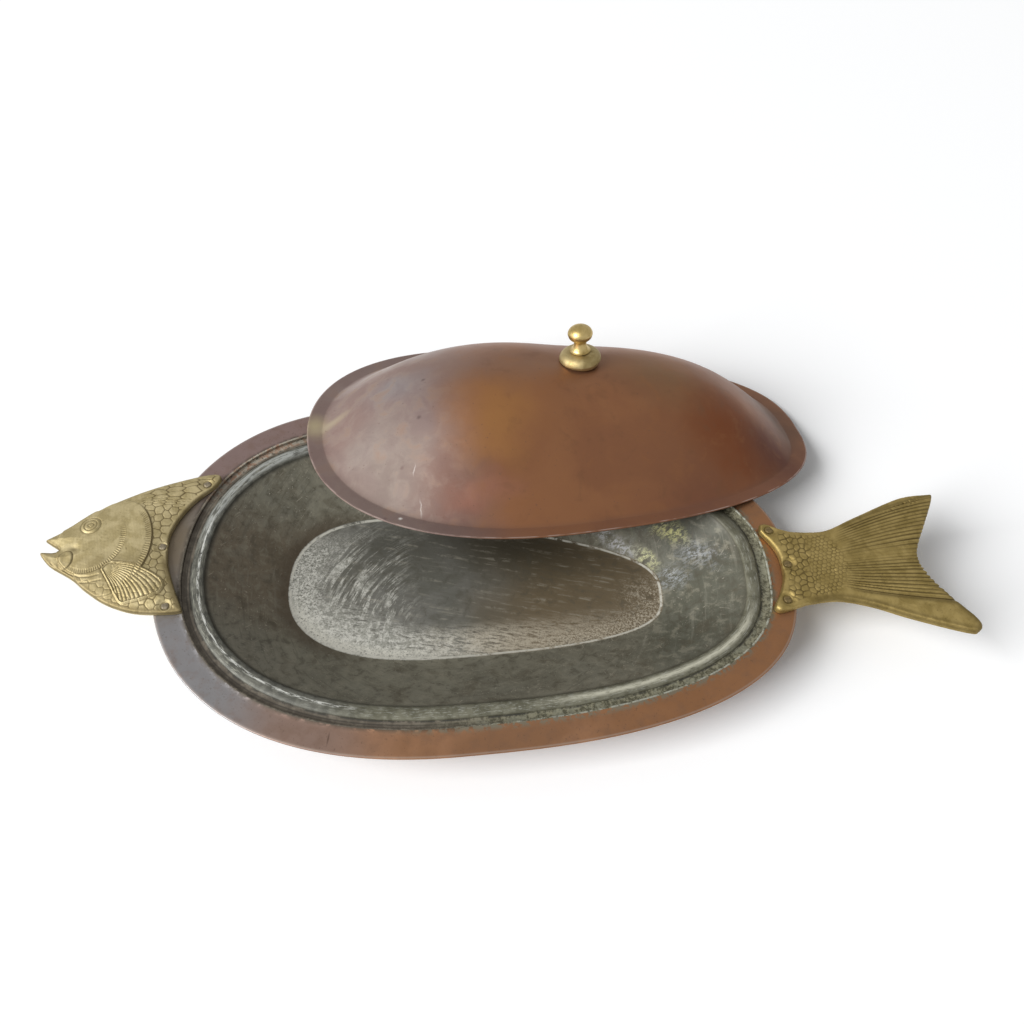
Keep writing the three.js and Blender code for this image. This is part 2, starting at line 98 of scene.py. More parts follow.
# Lid
LID_PLAY_END = 8.1
LID_PLAY_SIDE = 3.6
LID_FLANGE_END = 11
LID_FLANGE_SIDE = 9
LID_HEIGHT = 60.8
LID_SHEET = 1.2
DOME_END_POWER = 3.1
DOME_SIDE_POWER = 2
DOME_FOOT_POWER = 1.2
LID_PLACE = Vector((58.90, 121.00, 27.34))
LID_LEAN = Euler([math.radians(turn) for turn in (-12.31, 4.63, 8.50)], "YXZ")

# Zones of the sheets' edges and lower sides, above those of their upper sides
PAN_BELOW = 6.5
LID_BELOW = 2.3

# Head and tail castings
HEAD_EDGE = 3.2
HEAD_EDGE_ROUND = 1.1
HEAD_CROWN = 3.4
HEAD_CROWN_WIDTH = 24
GILL_STEP = 0.9
EYE_RISE = 0.8
FIN_STEP = 1
TAIL_EDGE = 4.4
TAIL_EDGE_ROUND = 1.8
TAIL_CROWN = 0.8
TAIL_CROWN_WIDTH = 8
TAIL_NOTCH = 1.3
TAIL_RISE = 11
TAIL_REACH = 104.6
TAIL_BEND_POWER = 1.6

# Rivets, knob and clearances
GAP = 0.3
SHANK_RADIUS = 1.6
RIVET_HEAD_RADIUS = 2.75
RIVET_HOLE = RIVET_HEAD_RADIUS + GAP
RIVET_PAD = 0.35
HEAD_RIVET_SEAT = 3.2
HEAD_RIVET_DOME = 0.8
TAIL_RIVET_SEAT = 3.6
TAIL_RIVET_DOME = 0.7
CLENCH_RADIUS = 2.6
CLENCH_FACE = 1.8
CLENCH_HEIGHT = 1
KNOB_ASIDE = 7.6
KNOB_LEAN = math.radians(8.5)
KNOB_HEAD_RADIUS = 8.5
KNOB_HEIGHT = 19.4
KNOB_NECK = [(0.66, 0.1), (0.55, 0.2), (0.5, 0.31), (0.53, 0.4), (0.72, 0.47), (0.91, 0.56), (1, 0.68)]
COLLAR_RADIUS = 7.1
COLLAR_EDGE = 0.8
BASE_RADIUS = 14.4
BASE_HEIGHT = 8.3
BASE_EDGE = 2.3
BASE_FOOT = 12
BASE_FOOT_DROP = 2.5
STUD_RADIUS = 3
STUD_IN_KNOB = 10
BORE = STUD_RADIUS + GAP

# Reach of a spot of colour along Z
SPOT_HEIGHT = 200

# Unevenness of the sheets: depth, length of the waves and seed
FLOOR_WAVES = (0.16, 46, 3)
WALL_WAVES = (0.3, 38, 5)
FLANGE_WAVES = (0.3, 70, 8)
LID_WAVES = (0.35, 60, 21)

# Fineness of the meshes
AROUND = 384
EDGE_RINGS = 5
DOME_RINGS = 64
LID_FLANGE_RINGS = 9
CAST_SPACING = 0.42
OUTLINE_INSET = 0.1
TURNED = 96
RIVET_FACETS = 40
HOLE_FACETS = 48


# Ovals

@dataclass(frozen=True)
class Oval:
    """An outline that is wide at the head end and tapers to the tail; a power of 2 is an ellipse."""

    half_length: float
    half_width: float
    head_power: float
    tail_power: float
    taper: float
    shift: float

    def inset(self, distance):
        return self.narrowed(distance, distance)

    def narrowed(self, at_ends, at_sides):
        return replace(self, half_length=self.half_length - at_ends, half_width=self.half_width - at_sides)

    def scaled(self, share):
        return replace(self, half_length=self.half_length * share, half_width=self.half_width * share)

    def towards(self, other, share):
        mixed = {key: (1 - share) * value + share * vars(other)[key] for key, value in vars(self).items()}
        return Oval(**mixed)

    def ring(self):
        c, s = np.cos(TURNS), np.sin(TURNS)
        power = np.where(c < 0, self.head_power, self.tail_power)
        reach = (np.abs(c) ** power + np.abs(s) ** power) ** (-1 / power)
        x = self.half_length * c * reach + self.shift
        y = self.half_width * s * reach * (1 - self.taper * c * reach)
        return x, y


TURNS = np.linspace(0, 2 * math.pi, AROUND, endpoint=False)
RIM = Oval(208.4, 133.3, 2.13, 2.78, 0.215, -3)
LIP = Oval(RIM.half_length - FLANGE_END, RIM.half_width - FLANGE_SIDE, 2.19, 2.74, 0.228, -1.4)
FLOOR = Oval(127.2, 52.9, 2.4, 3.18, 0.334, 0.5)
FLOOR_FLAT = FLOOR.inset(FLOOR_FILLET)
BEAD_INNER = LIP.inset(SEAT_WIDTH + BEAD_WIDTH)
FLANGE_INNER = LIP.inset(-LIP_WIDTH)
FLANGE_OUTER = RIM.inset(PAN_SHEET / 2)
LID_RIM = replace(LIP.narrowed(LID_PLAY_END, LID_PLAY_SIDE), shift=0)
LID_FOOT = LID_RIM.narrowed(LID_FLANGE_END, LID_FLANGE_SIDE)
LID_OUTER = LID_RIM.inset(LID_SHEET / 2)


def soft_step(inwards, width):
    """0 outside, 1 inside, with a soft step of the given width between."""
    share = np.clip(inwards / width + 0.5, 0, 1)
    return share * share * (3 - 2 * share)


def waves(x, y, length, seed, count=7):
    """An uneven surface between about -1 and 1, as hand work leaves it."""
    rng = np.random.default_rng(seed)
    total = np.zeros(np.broadcast(x, y).shape)
    for _ in range(count):
        turn, phase = rng.uniform(0, 2 * math.pi, 2)
        pitch = length * rng.uniform(0.7, 1.4)
        total += np.sin((x * math.cos(turn) + y * math.sin(turn)) * 2 * math.pi / pitch + phase)
    return total / count


def uneven(x, y, kind):
    """Waves up and down, of one kind (depth, length, seed)."""
    depth, length, seed = kind
    return depth * waves(x, y, length, seed)


def sunk(x, y, kind):
    """Waves that only go down, so that a sheet stays within its CAD shape."""
    return (kind[0] + uneven(x, y, kind)) / 2


# Meshes

def new_mesh(name, points, faces, smooth_below=50, **numbers):
    """A mesh in metres from points in millimetres, with one named number per point where given."""
    mesh = bpy.data.meshes.new(name)
    mesh.from_pydata((np.asarray(points, float) * MM).tolist(), [], faces)
    for key, values in numbers.items():
        layer = mesh.attributes.new(key, "FLOAT", "POINT")
        layer.data.foreach_set("value", np.asarray(values, np.float32))
    mesh.shade_smooth()
    mesh.set_sharp_from_angle(angle=math.radians(smooth_below))
    mesh.validate()
    return mesh


def moved(x, y, z):
    return Matrix.Translation(Vector((x, y, z)) * MM)


def add_piece(mesh, materials, body, node, place=Matrix()):
    """A finely made piece that stands for a CAD node and moves with its body. Its material reads the
    places that the points have before the piece is put in its place."""
    own = np.empty(len(mesh.vertices) * 3, np.float32)
    mesh.vertices.foreach_get("co", own)
    mesh.attributes.new("own_place", "FLOAT_VECTOR", "POINT").data.foreach_set("vector", own)
    mesh.transform(place)
    piece = bpy.data.objects.new(mesh.name, mesh)
    bpy.context.collection.objects.link(piece)
    for material in materials:
        mesh.materials.append(material)
    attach(piece, body)
    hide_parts(node)


def unit(vectors):
    return vectors / np.linalg.norm(vectors, axis=-1, keepdims=True)


def sheet_under(rings, centre, thickness):
    """The lower side of a sheet of even thickness, from the rings of its upper side."""
    along = np.roll(rings, -1, axis=1) - np.roll(rings, 1, axis=1)
    before = np.concatenate([np.broadcast_to(centre, rings[:1].shape), rings[:-1]])
    after = np.concatenate([rings[1:], 2 * rings[-1:] - rings[-2:-1]])
    first = unit(np.cross(rings - before, along))
    second = unit(np.cross(after - rings, along))
    lean = 1 + (first * second).sum(-1, keepdims=True)
    return rings - thickness * (first + second) / lean


def rounded_edge(top, under):
    """Rings round the edge of a sheet, from its upper side to its lower side."""
    middle = (top + under) / 2
    half = top - middle
    along = np.roll(top, -1, axis=0) - np.roll(top, 1, axis=0)
    outwards = unit(np.cross(along, half)) * np.linalg.norm(half, axis=-1, keepdims=True)
    turns = [math.pi * (i + 1) / (EDGE_RINGS + 1) for i in range(EDGE_RINGS)]
    return np.array([middle + math.cos(turn) * half + math.sin(turn) * outwards for turn in turns])


def ring_faces(count, around):
    """Faces of a closed body whose points are two poles and then rings from the first to the second."""
    def at(i, j):
        return 2 + i * around + j % around

    faces = []
    for j in range(around):
        faces.append((0, at(0, j), at(0, j + 1)))
        faces.append((1, at(count - 1, j + 1), at(count - 1, j)))
        for i in range(count - 1):
            faces.append((at(i, j), at(i + 1, j), at(i + 1, j + 1), at(i, j + 1)))
    return faces


def rings_of(section):
    """Points of the rings of a section of (oval, height, ...)."""
    rings = []
    for oval, z, *_ in section:
        x, y = oval.ring()
        rings.append(np.stack([x, y, z + 0 * x], -1))
    return np.array(rings)


def sheet_mesh(name, top, folds, centre, thickness, zones, zone_below, second_from):
    """A closed sheet from the rings of its upper side and the folds that its lower side follows. Faces
    from a numbered ring on take the second material."""
    under = sheet_under(folds, centre, thickness)
    loops = np.concatenate([top, rounded_edge(top[-1], under[-1]), under[::-1]])
    points = np.concatenate([[centre, centre - [0, 0, thickness]], loops.reshape(-1, 3)])
    faces = ring_faces(len(loops), AROUND)
    zone = np.full(len(points), zone_below)
    zone[0] = 0
    zone[2 : 2 + len(zones) * AROUND] = np.repeat(zones, AROUND)
    mesh = new_mesh(name, points, faces, zone=zone)
    second = [min(face) >= 2 + second_from * AROUND or 1 in face for face in faces]
    mesh.polygons.foreach_set("material_index", np.array(second, np.int32))
    return mesh


# Pan

def wall_ring(share):
    """Oval and height on the wall, from the floor to the bead."""
    foot = PAN_SHEET + FLOOR_RISE
    return FLOOR.towards(BEAD_INNER, share), foot + (SEAT_Z - foot) * share**WALL_POWER


def bead_ring(share):
    """Oval and height on the bead, from the wall to the seat."""
    turn = math.pi * share
    across = SEAT_WIDTH + BEAD_WIDTH / 2 * (1 + math.cos(turn))
    return LIP.inset(across), SEAT_Z + BEAD_HEIGHT * math.sin(turn)


def pan_section():
    """The pan's upper side from the floor's centre outwards: (oval, height, zone)."""
    section = [(FLOOR_FLAT.scaled(share), PAN_SHEET, 0.9 * share) for share in np.linspace(0.06, 1, 16)]
    for share in np.linspace(0.2, 1, 5):
        z = PAN_SHEET + FLOOR_RISE * share**2
        section.append((FLOOR.inset(FLOOR_FILLET * (1 - share)), z, 0.9 + 0.1 * share))
    section += [(*wall_ring(share), 1 + share) for share in np.linspace(0.04, 1, 25)]
    section += [(*bead_ring(share), 2 + share) for share in np.linspace(0.07, 1, 14)]
    for share in (0.12, 0.3, 0.6, 0.85, 1):
        across = SEAT_WIDTH + share * (STEP_LEAN + STEP_FOOT - SEAT_WIDTH)
        section.append((LIP.inset(across), SEAT_Z - SEAT_DIP * math.sin(math.pi * share), 3 + share))
    for across, drop, zone in ((0.5, 0.88, 4.1), (0.3, 0.6, 4.4), (0.15, 0.2, 4.7), (0, 0, 4.95)):
        section.append((LIP.inset(STEP_LEAN * across), PAN_HEIGHT - drop * SEAT_DROP, zone))
    for across, rise, zone in ((0.5, LIP_EDGE, 4.99), (1.1, LIP_EDGE, 5), (LIP_WIDTH, 0, 5.05)):
        section.append((LIP.inset(-across), PAN_HEIGHT + rise, zone))
    for share in np.linspace(0.15, 1, 9):
        section.append((FLANGE_INNER.towards(FLANGE_OUTER, share), PAN_HEIGHT, 5.05 + 0.95 * share))
    return section


def pan_folds():
    """The folds of the pan's sheet: (oval, height)."""
    section = [(FLOOR_FLAT.scaled(share), PAN_SHEET) for share in (0.3, 0.7, 1)]
    section += [wall_ring(share) for share in (0, 0.15, 0.3, 0.5, 0.7, 0.85)]
    section += [bead_ring(share) for share in np.linspace(0, 1, 6)]
    return section + [(LIP.inset(STEP_LEAN), SEAT_Z), (LIP, PAN_HEIGHT), (FLANGE_OUTER, PAN_HEIGHT)]


def make_pan():
    section = pan_section()
    zones = np.array([zone for _, _, zone in section])
    top = rings_of(section)
    x, y = top[..., 0], top[..., 1]
    on_floor = soft_step(1 - zones, 0.3)[:, None]
    on_wall = (soft_step(zones - 1, 0.3) * soft_step(4 - zones, 0.5))[:, None]
    on_flange = soft_step(zones - 5.1, 0.3)[:, None]
    top[..., 2] += on_floor * uneven(x, y, FLOOR_WAVES) + on_wall * uneven(x, y, WALL_WAVES)
    top[..., 2] -= on_flange * sunk(x, y, FLANGE_WAVES)
    centre = np.array([FLOOR.shift, 0, PAN_SHEET])
    folds, lip_ring = rings_of(pan_folds()), int(np.argmax(zones >= 5))
    mesh = sheet_mesh("pan_dressed", top, folds, centre, PAN_SHEET, zones, PAN_BELOW, lip_ring)
    looks = [tinned("tin_of_pan", well_looks), copper_of_pan()]
    add_piece(mesh, looks, "dish", "pan")


# Lid

def dome_height(share):
    power = DOME_END_POWER * np.cos(TURNS) ** 2 + DOME_SIDE_POWER * np.sin(TURNS) ** 2
    return LID_SHEET + (LID_HEIGHT - LID_SHEET) * np.clip(1 - share**power, 0, 1) ** DOME_FOOT_POWER


def make_lid():
    shares = 1 - (1 - np.linspace(0.02, 1, DOME_RINGS)) ** 1.6
    section = [(LID_FOOT.scaled(share), dome_height(share)) for share in shares]
    for share in np.linspace(0.12, 1, LID_FLANGE_RINGS):
        section.append((LID_FOOT.towards(LID_OUTER, share), LID_SHEET))
    top = rings_of(section)
    x, y, z = top[..., 0], top[..., 1], top[..., 2]
    top[..., 2] -= soft_step(z - 6, 8) * sunk(x, y, LID_WAVES)
    zones = np.concatenate([np.linspace(0, 1, DOME_RINGS), np.linspace(1.1, 2, LID_FLANGE_RINGS)])
    centre = np.array([0, 0, LID_HEIGHT - 0.2])
    inside = len(top) + EDGE_RINGS
    mesh = sheet_mesh("lid_dressed", top, top[::3], centre, LID_SHEET, zones, LID_BELOW, inside)
    looks = [copper_of_lid(), tinned("tin_of_lid", lining_looks)]
    add_piece(mesh, looks, "lid", "lid_shell", lid_matrix())


def lid_matrix():
    return moved(*LID_PLACE) @ LID_LEAN.to_matrix().to_4x4()


# Turned pieces

def quarter_round(inner, outer, low, high, steps):
    """From the widest place up to the top."""
    turns = [math.pi / 2 * i / steps for i in range(steps + 1)]
    return [(inner + (outer - inner) * math.cos(t), low + (high - low) * math.sin(t)) for t in turns]


def smooth_line(points, steps):
    """A smooth curve through the points."""
    line = [points[0]]
    for i in range(len(points) - 1):
        p1, p2 = np.array(points[i]), np.array(points[i + 1])
        v1 = (p2 - np.array(points[max(i - 1, 0)])) / 2
        v2 = (np.array(points[min(i + 2, len(points) - 1)]) - p1) / 2
        for step in range(1, steps + 1):
            t = step / steps
            p = (2 * p1 - 2 * p2 + v1 + v2) * t**3 + (3 * p2 - 3 * p1 - 2 * v1 - v2) * t**2 + v1 * t + p1
            line.append(tuple(p))
    return line


def turned_mesh(name, rows, facets=TURNED, hammered_from=None, seed=1):
    """A turned body: rows of (radius, height) from its lower pole to its upper pole. Rows above a
    height may be hammered to a rough square."""
    turns = np.linspace(0, 2 * math.pi, facets, endpoint=False)
    rng = np.random.default_rng(seed)
    side = turns + rng.uniform(0, math.pi)
    square = (np.abs(np.cos(side)) ** 3 + np.abs(np.sin(side)) ** 3) ** (-1 / 3) * 2 ** (-1 / 6)
    square *= 1 + 0.03 * (np.cos(3 * turns + rng.uniform(0, 6)) - 1)
    rings = []
    for radius, z in rows[1:-1]:
        far = radius * (square if hammered_from is not None and z >= hammered_from else 1.0)
        rings.append(np.stack([far * np.cos(turns), far * np.sin(turns), np.full(facets, z)], -1))
    poles = [[0, 0, rows[0][1]], [0, 0, rows[-1][1]]]
    points = np.concatenate([poles, np.array(rings).reshape(-1, 3)])
    faces = [tuple(reversed(face)) for face in ring_faces(len(rings), facets)]
    return new_mesh(name, points, faces, smooth_below=38)


def make_knob():
    neck = [(KNOB_HEAD_RADIUS * radius, KNOB_HEIGHT * height) for radius, height in KNOB_NECK]
    rows = [(0, STUD_IN_KNOB + GAP), (BORE, STUD_IN_KNOB + GAP), (BORE, 0), (COLLAR_RADIUS - 0.3, 0)]
    rows += [(COLLAR_RADIUS, 0.3), (COLLAR_RADIUS, COLLAR_EDGE - 0.2), (COLLAR_RADIUS - 0.25, COLLAR_EDGE)]
    rows += smooth_line([(COLLAR_RADIUS - 0.8, COLLAR_EDGE + 0.15)] + neck, 5)[:-1]
    rows += quarter_round(0, KNOB_HEAD_RADIUS, neck[-1][1], KNOB_HEIGHT, 14)
    lean = Matrix.Rotation(-KNOB_LEAN, 4, "Y")
    base_z = (LID_SHEET / 2 + GAP) / math.cos(KNOB_LEAN)
    foot = moved(KNOB_ASIDE, 0, LID_HEIGHT - LID_SHEET / 2)
    base_place = lid_matrix() @ foot @ lean @ moved(0, 0, base_z)
    knob_place = base_place @ moved(0, 0, BASE_HEIGHT + GAP)
    knob = turned_mesh("knob_dressed", rows)
    add_piece(knob, [brass("knob_brass", KNOB_BRASS)], "lid", "knob", knob_place)
    add_piece(base_mesh(), [brass("base_brass", BASE_BRASS)], "lid", "knob_base", base_place)


def base_mesh():
    """The knob's base, cut off below along the lid's top, which slopes across its axis."""
    turns = np.linspace(0, 2 * math.pi, TURNED, endpoint=False)
    slope = math.tan(KNOB_LEAN)

    def ring(radius, z):
        return np.stack([radius * np.cos(turns), radius * np.sin(turns), z + 0 * turns], -1)

    def cut_ring(radius, z, reach):
        """The ring where the line down from a place meets the cut; reach is the slant of that line."""
        share = (z + slope * radius * np.cos(turns)) / (1 - slope * reach * np.cos(turns))
        return ring(radius + reach * share, z - share)

    slant = (BASE_FOOT - BASE_RADIUS) / (BASE_EDGE + BASE_FOOT_DROP)
    foot = cut_ring(BASE_RADIUS, BASE_EDGE, slant)
    widest = ring(BASE_RADIUS, BASE_EDGE)
    rings = [cut_ring(BORE, 0, 0), foot]
    rings += [foot + share * (widest - foot) for share in (0.1, 0.4, 0.7)]
    rings += [ring(*row) for row in quarter_round(COLLAR_RADIUS, BASE_RADIUS, BASE_EDGE, BASE_HEIGHT, 14)]
    rings += [ring(BORE, BASE_HEIGHT)]
    faces = []
    for i in range(len(rings)):
        for j in range(TURNED):
            low, high, beside = i * TURNED, (i + 1) % len(rings) * TURNED, (j + 1) % TURNED
            faces.append((low + j, low + beside, high + beside, high + j))
    return new_mesh("knob_base_dressed", np.concatenate(rings), faces, smooth_below=38)


def rivet_mesh(name, seat, dome, seed):
    grip = seat + GAP + PAN_SHEET + 2 * GAP
    rows = [(0, -grip - CLENCH_HEIGHT), (CLENCH_FACE, -grip - CLENCH_HEIGHT), (CLENCH_RADIUS, -grip)]
    rows += [(SHANK_RADIUS, -grip), (SHANK_RADIUS, 0), (RIVET_HEAD_RADIUS - 0.1, 0)]
    rows += quarter_round(0, RIVET_HEAD_RADIUS - 0.1, 0.1, dome, 7)
    return turned_mesh(name, rows, RIVET_FACETS, hammered_from=0, seed=seed)


# Castings, measured from the end of the rim that they are riveted to

HEAD_X = RIM.shift - RIM.half_length
TAIL_X = RIM.shift + RIM.half_length
CASTING_Z = PAN_HEIGHT + GAP

HEAD_OUTLINE = [
    [(-75.8, 4.6), (-63, 14.6), (-47.6, 29.6), (-27.4, 43), (-8, 53), (17, 62.6), (28.4, 65.3)],
    [(32.4, 63.4), (30.4, 55.4), (15.8, 37.4), (7.2, 15), (9, -7), (17.6, -28.2), (25.2, -42.6)],
    [(23.6, -46.8), (-2, -48.2), (-22.8, -42.8), (-39.4, -33.2), (-51, -24.4), (-67.4, -15.4), (-75.4, -8)],
    [(-76.4, -5.2), (-68.6, -5)],
    [(-64.2, -3.4), (-67, -0.8), (-71.4, 1.8), (-75.8, 4.6)],
]
TAIL_OUTLINE = [
    [(-16.4, 34.6), (-12, 35.2), (-2, 31.2), (6.4, 29.6), (25, 30.6), (45.4, 40.6), (76.2, 54.8), (94.6, 57)],
    [(98.2, 54.4), (89.2, 34.4), (80.8, 16.8), (78.6, 6.6), (81.8, -5.4), (91.4, -23.6), (99.8, -36.4)],
    [(102.2, -42.4), (100.4, -46.6), (94, -46.8), (64.4, -35.6), (43.8, -26.8), (24, -22.4), (4.6, -25.2)],
    [(-10.6, -31.2), (-15.4, -30.6), (-16, -26.6), (-10.8, -16.6), (-7, -3), (-8.4, 14), (-17, 29.6)],
]
FIN_OUTLINE = [
    [(-31.8, -19), (-26.6, -13.4), (-13.3, -14), (-2.5, -17.2), (7.7, -22.7), (11.4, -28.4), (10.2, -34.2)],
    [(3.3, -38.5), (-6.8, -41.7), (-13.4, -43.1), (-18.6, -37.6), (-24.9, -28.6), (-31.8, -19)],
]
HEAD_RIVETS = [(24.4, 55.2), (4.2, 2), (15.2, -43.2)]
TAIL_RIVETS = [(-11, 30), (-3.2, 3.6), (-8, -23.4)]

# Carving of the head: ovals are (x, y, half length, half width)
GILL_COVER = (-28.6, 0, 25.5, 38)
INNER_GILL = (-43.6, 3.6, 23, 26)
JAW_LOBE = (-57, -12, 5, 6.8)
COVER_STROKES = 120
INNER_STROKES = 92
EYE = (-46.7, 15.5)
EYE_RADIUS = 7
FIN_ROOT = (-33, -19)
FIN_RAYS = 13
FIN_SPREAD = math.radians(68)
SCALE_LEAN = math.radians(8)
MOUTH_CORNER = (-53.3, -3.4)
JAW_LINES = [
    [(-61, -14.5), (-57, -18.8), (-52.6, -21.4), (-44.5, -24.4), (-38, -24.4), (-32.4, -22.9)],
    [(-67, -13.6), (-61, -19), (-56.3, -22.6), (-46, -28), (-38.7, -28.6), (-30, -26.6)],
]

# Borders of the tail's fan: start, height there, slope, and how they bend further out
FAN_UPPER = (26, 27.3, 0.604, 0.00296)
FAN_LOWER = (22, 15.5, 0.17, 5, 30)
FAN_RAYS = 27


def spline_outline(stretches, spacing, inset=0.0):
    """A closed outline, smooth along each stretch, as points at an even spacing."""
    line = [stretches[0][0]]
    for i, stretch in enumerate(stretches):
        line += smooth_line([line[-1]] + (stretch[1:] if i == 0 else stretch), 12)[1:]
    closed = np.array(line + line[:1])
    lengths = np.concatenate([[0], np.cumsum(np.hypot(*np.diff(closed, axis=0).T))])
    places = np.linspace(0, lengths[-1], round(lengths[-1] / spacing), endpoint=False)
    outline = np.stack([np.interp(places, lengths, closed[:, k]) for k in (0, 1)], -1)
    along = np.roll(outline, -1, axis=0) - np.roll(outline, 1, axis=0)
    inwards = unit(np.stack([-along[:, 1], along[:, 0]], -1)) * math.copysign(inset, signed_area(outline))
    return outline + inwards


def signed_area(outline):
    ends = np.roll(outline, -1, axis=0)
    return (outline[:, 0] * ends[:, 1] - ends[:, 0] * outline[:, 1]).sum() / 2


def polyline_distance(line, x, y):
    """How far places lie from an open line of points."""
    nearest = np.full(x.shape, 1e9)
    for (ax, ay), (bx, by) in zip(line[:-1], line[1:]):
        dx, dy = bx - ax, by - ay
        share = np.clip(((x - ax) * dx + (y - ay) * dy) / (dx * dx + dy * dy + 1e-12), 0, 1)
        nearest = np.minimum(nearest, np.hypot(x - ax - share * dx, y - ay - share * dy))
    return nearest


def outline_distance(outline, x, y):
    return polyline_distance(np.concatenate([outline, outline[:1]]), x, y)


def depth_inside(outline, x, y):
    """How far places lie inside an outline; 0 outside."""
    inside = np.zeros(x.shape, bool)
    for (ax, ay), (bx, by) in zip(outline, np.roll(outline, -1, axis=0)):
        if ay != by:
            inside ^= ((ay > y) != (by > y)) & (x < (bx - ax) * (y - ay) / (by - ay) + ax)
    return np.where(inside, outline_distance(outline, x, y), 0)


def crown_share(depth, width):
    return 1 - (1 - np.minimum(depth / width, 1)) ** 2


def outside_oval(oval, x, y):
    """About how far places lie outside an oval; less than 0 inside."""
    cx, cy, along_x, along_y = oval
    share = np.hypot((x - cx) / along_x, (y - cy) / along_y)
    slope = np.hypot((x - cx) / along_x**2, (y - cy) / along_y**2) / np.maximum(share, 1e-3)
    return (share - 1) / np.maximum(slope, 1e-3)


def line_at(distance, width):
    """1 on a line, falling off over its width."""
    return np.exp(-((distance / width) ** 2))


def chance(row, column, seed, turns, scatter):
    """A number from -0.5 to 0.5 that looks random, for each row and column."""
    value = np.sin(row * turns[0] + column * turns[1] + seed) * scatter
    return value - np.floor(value) - 0.5


def scale_cells(u, v, length, width, jitter, seed):
    """Scales in staggered rows across u: how far places lie from a scale's outline, and its bulge."""
    first, second = np.full(u.shape, 1e9), np.full(u.shape, 1e9)
    for row_step in (-1, 0, 1, 2):
        row = np.floor(u / length) + row_step
        offset = np.where(row % 2 == 0, 0, width / 2)
        for column_step in (-1, 0, 1, 2):
            column = np.floor((v - offset) / width) + column_step
            du = u - row * length - jitter * chance(row, column, seed, (127.1, 311.7), 43758.5)
            dv = v - column * width - offset - jitter * chance(row, column, seed, (269.5, 183.3), 28561.3)
            distance = np.hypot(du * 1.1, dv)
            second = np.minimum(second, np.maximum(first, distance))
            first = np.minimum(first, distance)
    return (second - first) / 2, 1 - np.minimum(first / (0.6 * width), 1) ** 2


# Relief of the head: heights, and how dark the hollows are, with painted shade along its lower edge and over
# its lower front

def fin_relief(x, y, fin):
    """The side fin; fin is the depth inside its outline."""
    rim = soft_step(fin - 1.3, 0.5)
    dx, dy = x - FIN_ROOT[0], y - FIN_ROOT[1]
    far = np.hypot(dx, dy)
    turn = np.arctan2(dy, dx) + 0.016 * far
    ray = 0.5 + 0.5 * np.cos(turn * FIN_RAYS * 2 * math.pi / FIN_SPREAD)
    groove = rim * soft_step(far - 8.5, 4) * (1 - ray) ** 1.9
    root = 0.3 * rim * line_at(np.hypot(dx - 4, dy + 2), 2.4)
    z = FIN_STEP * np.minimum(fin / 0.8, 1) - rim * (0.35 + 0.42 * groove) - root
    return z, np.maximum.reduce([0.72 * groove, root, 0.75 * line_at(fin - 1.6, 0.4)])


def gill_strokes(x, y, oval, start, end, ragged, count, seed):
    """Fine strokes in a ragged band inside the edge of an oval."""
    outside = outside_oval(oval, x, y)
    band = soft_step(-outside - start, 0.5) * soft_step(outside + end + ragged * waves(x, y, 3, seed), 1.2)
    cx, cy, along_x, along_y = oval
    turn = np.arctan2((y - cy) / along_y, (x - cx) / along_x)
    return band * (0.5 - 0.5 * np.cos(turn * count + 1.2 * waves(x, y, 9, seed)))


def gill_relief(x, y, cover, inner):
    cover_line = line_at(cover, 0.6) * soft_step(31 - y, 9) * soft_step(x + 30, 4) * soft_step(y + 22, 5)
    low_side = np.maximum(soft_step(-4 - y, 10), 0.35 * soft_step(x + 30, 8)) * soft_step(20 - y, 8)
    inner_line = 0.8 * line_at(inner, 0.5) * low_side * soft_step(-19.5 - x, 3)
    on_cover = gill_strokes(x, y, GILL_COVER, 0.6, 4.2, 0.9, COVER_STROKES, 4)
    on_cover = on_cover * soft_step(x + 20, 4) * soft_step(28 - y, 5)
    on_inner = gill_strokes(x, y, INNER_GILL, 0.3, 3.4, 0.8, INNER_STROKES, 9)
    on_inner = on_inner * soft_step(x - y * 0.1 + 52, 4) * soft_step(15 - y, 10)
    strokes = np.maximum(on_cover, on_inner) ** 1.6
    return -0.32 * strokes, np.maximum.reduce([cover_line, inner_line, 0.6 * strokes])


def head_scales(x, y, depth, cover):
    """Scales behind the gills and along the belly."""
    c, s = math.cos(SCALE_LEAN), math.sin(SCALE_LEAN)
    u = x * c + y * s + 1.2 * waves(x, y, 15, 2)
    v = y * c - x * s + 1.2 * waves(x, y, 15, 22)
    stretch = 1 + 0.9 * soft_step(y - 38, 10)
    edge, bulge = scale_cells(u / stretch, v * (1 + 0.35 * (stretch - 1)), 5.4, 6.1, 2, 5)
    behind = soft_step(cover - 0.6, 0.6) * soft_step(x + 17, 5) * soft_step(y + 50, 4)
    belly = 0.75 * soft_step(-27.5 - 0.22 * (x + 30) - y, 2) * soft_step(x + 57, 5)
    scaled = np.maximum(behind, belly) * soft_step(depth - 2.2, 1.4)
    groove = line_at(edge, 0.32)
    return scaled * (0.03 * bulge - 0.26 * groove), scaled * groove


def eye_relief(x, y):
    dx, dy = x - EYE[0], y - EYE[1]
    far, pupil = np.hypot(dx, dy), np.hypot(dx - 0.3, dy * 1.3)
    rings = [0.8 * line_at(far - EYE_RADIUS, 0.4), line_at(far - 4.4, 0.36)]
    rings += [0.9 * line_at(pupil - 2.1, 0.45), 0.6 * line_at(pupil, 0.6)]
    rings = np.maximum.reduce(rings)
    ball = EYE_RISE * soft_step(EYE_RADIUS - 1 - far, 1.6) * (1 - 0.5 * (far / EYE_RADIUS) ** 2)
    return ball - 0.4 * rings, 0.62 * rings


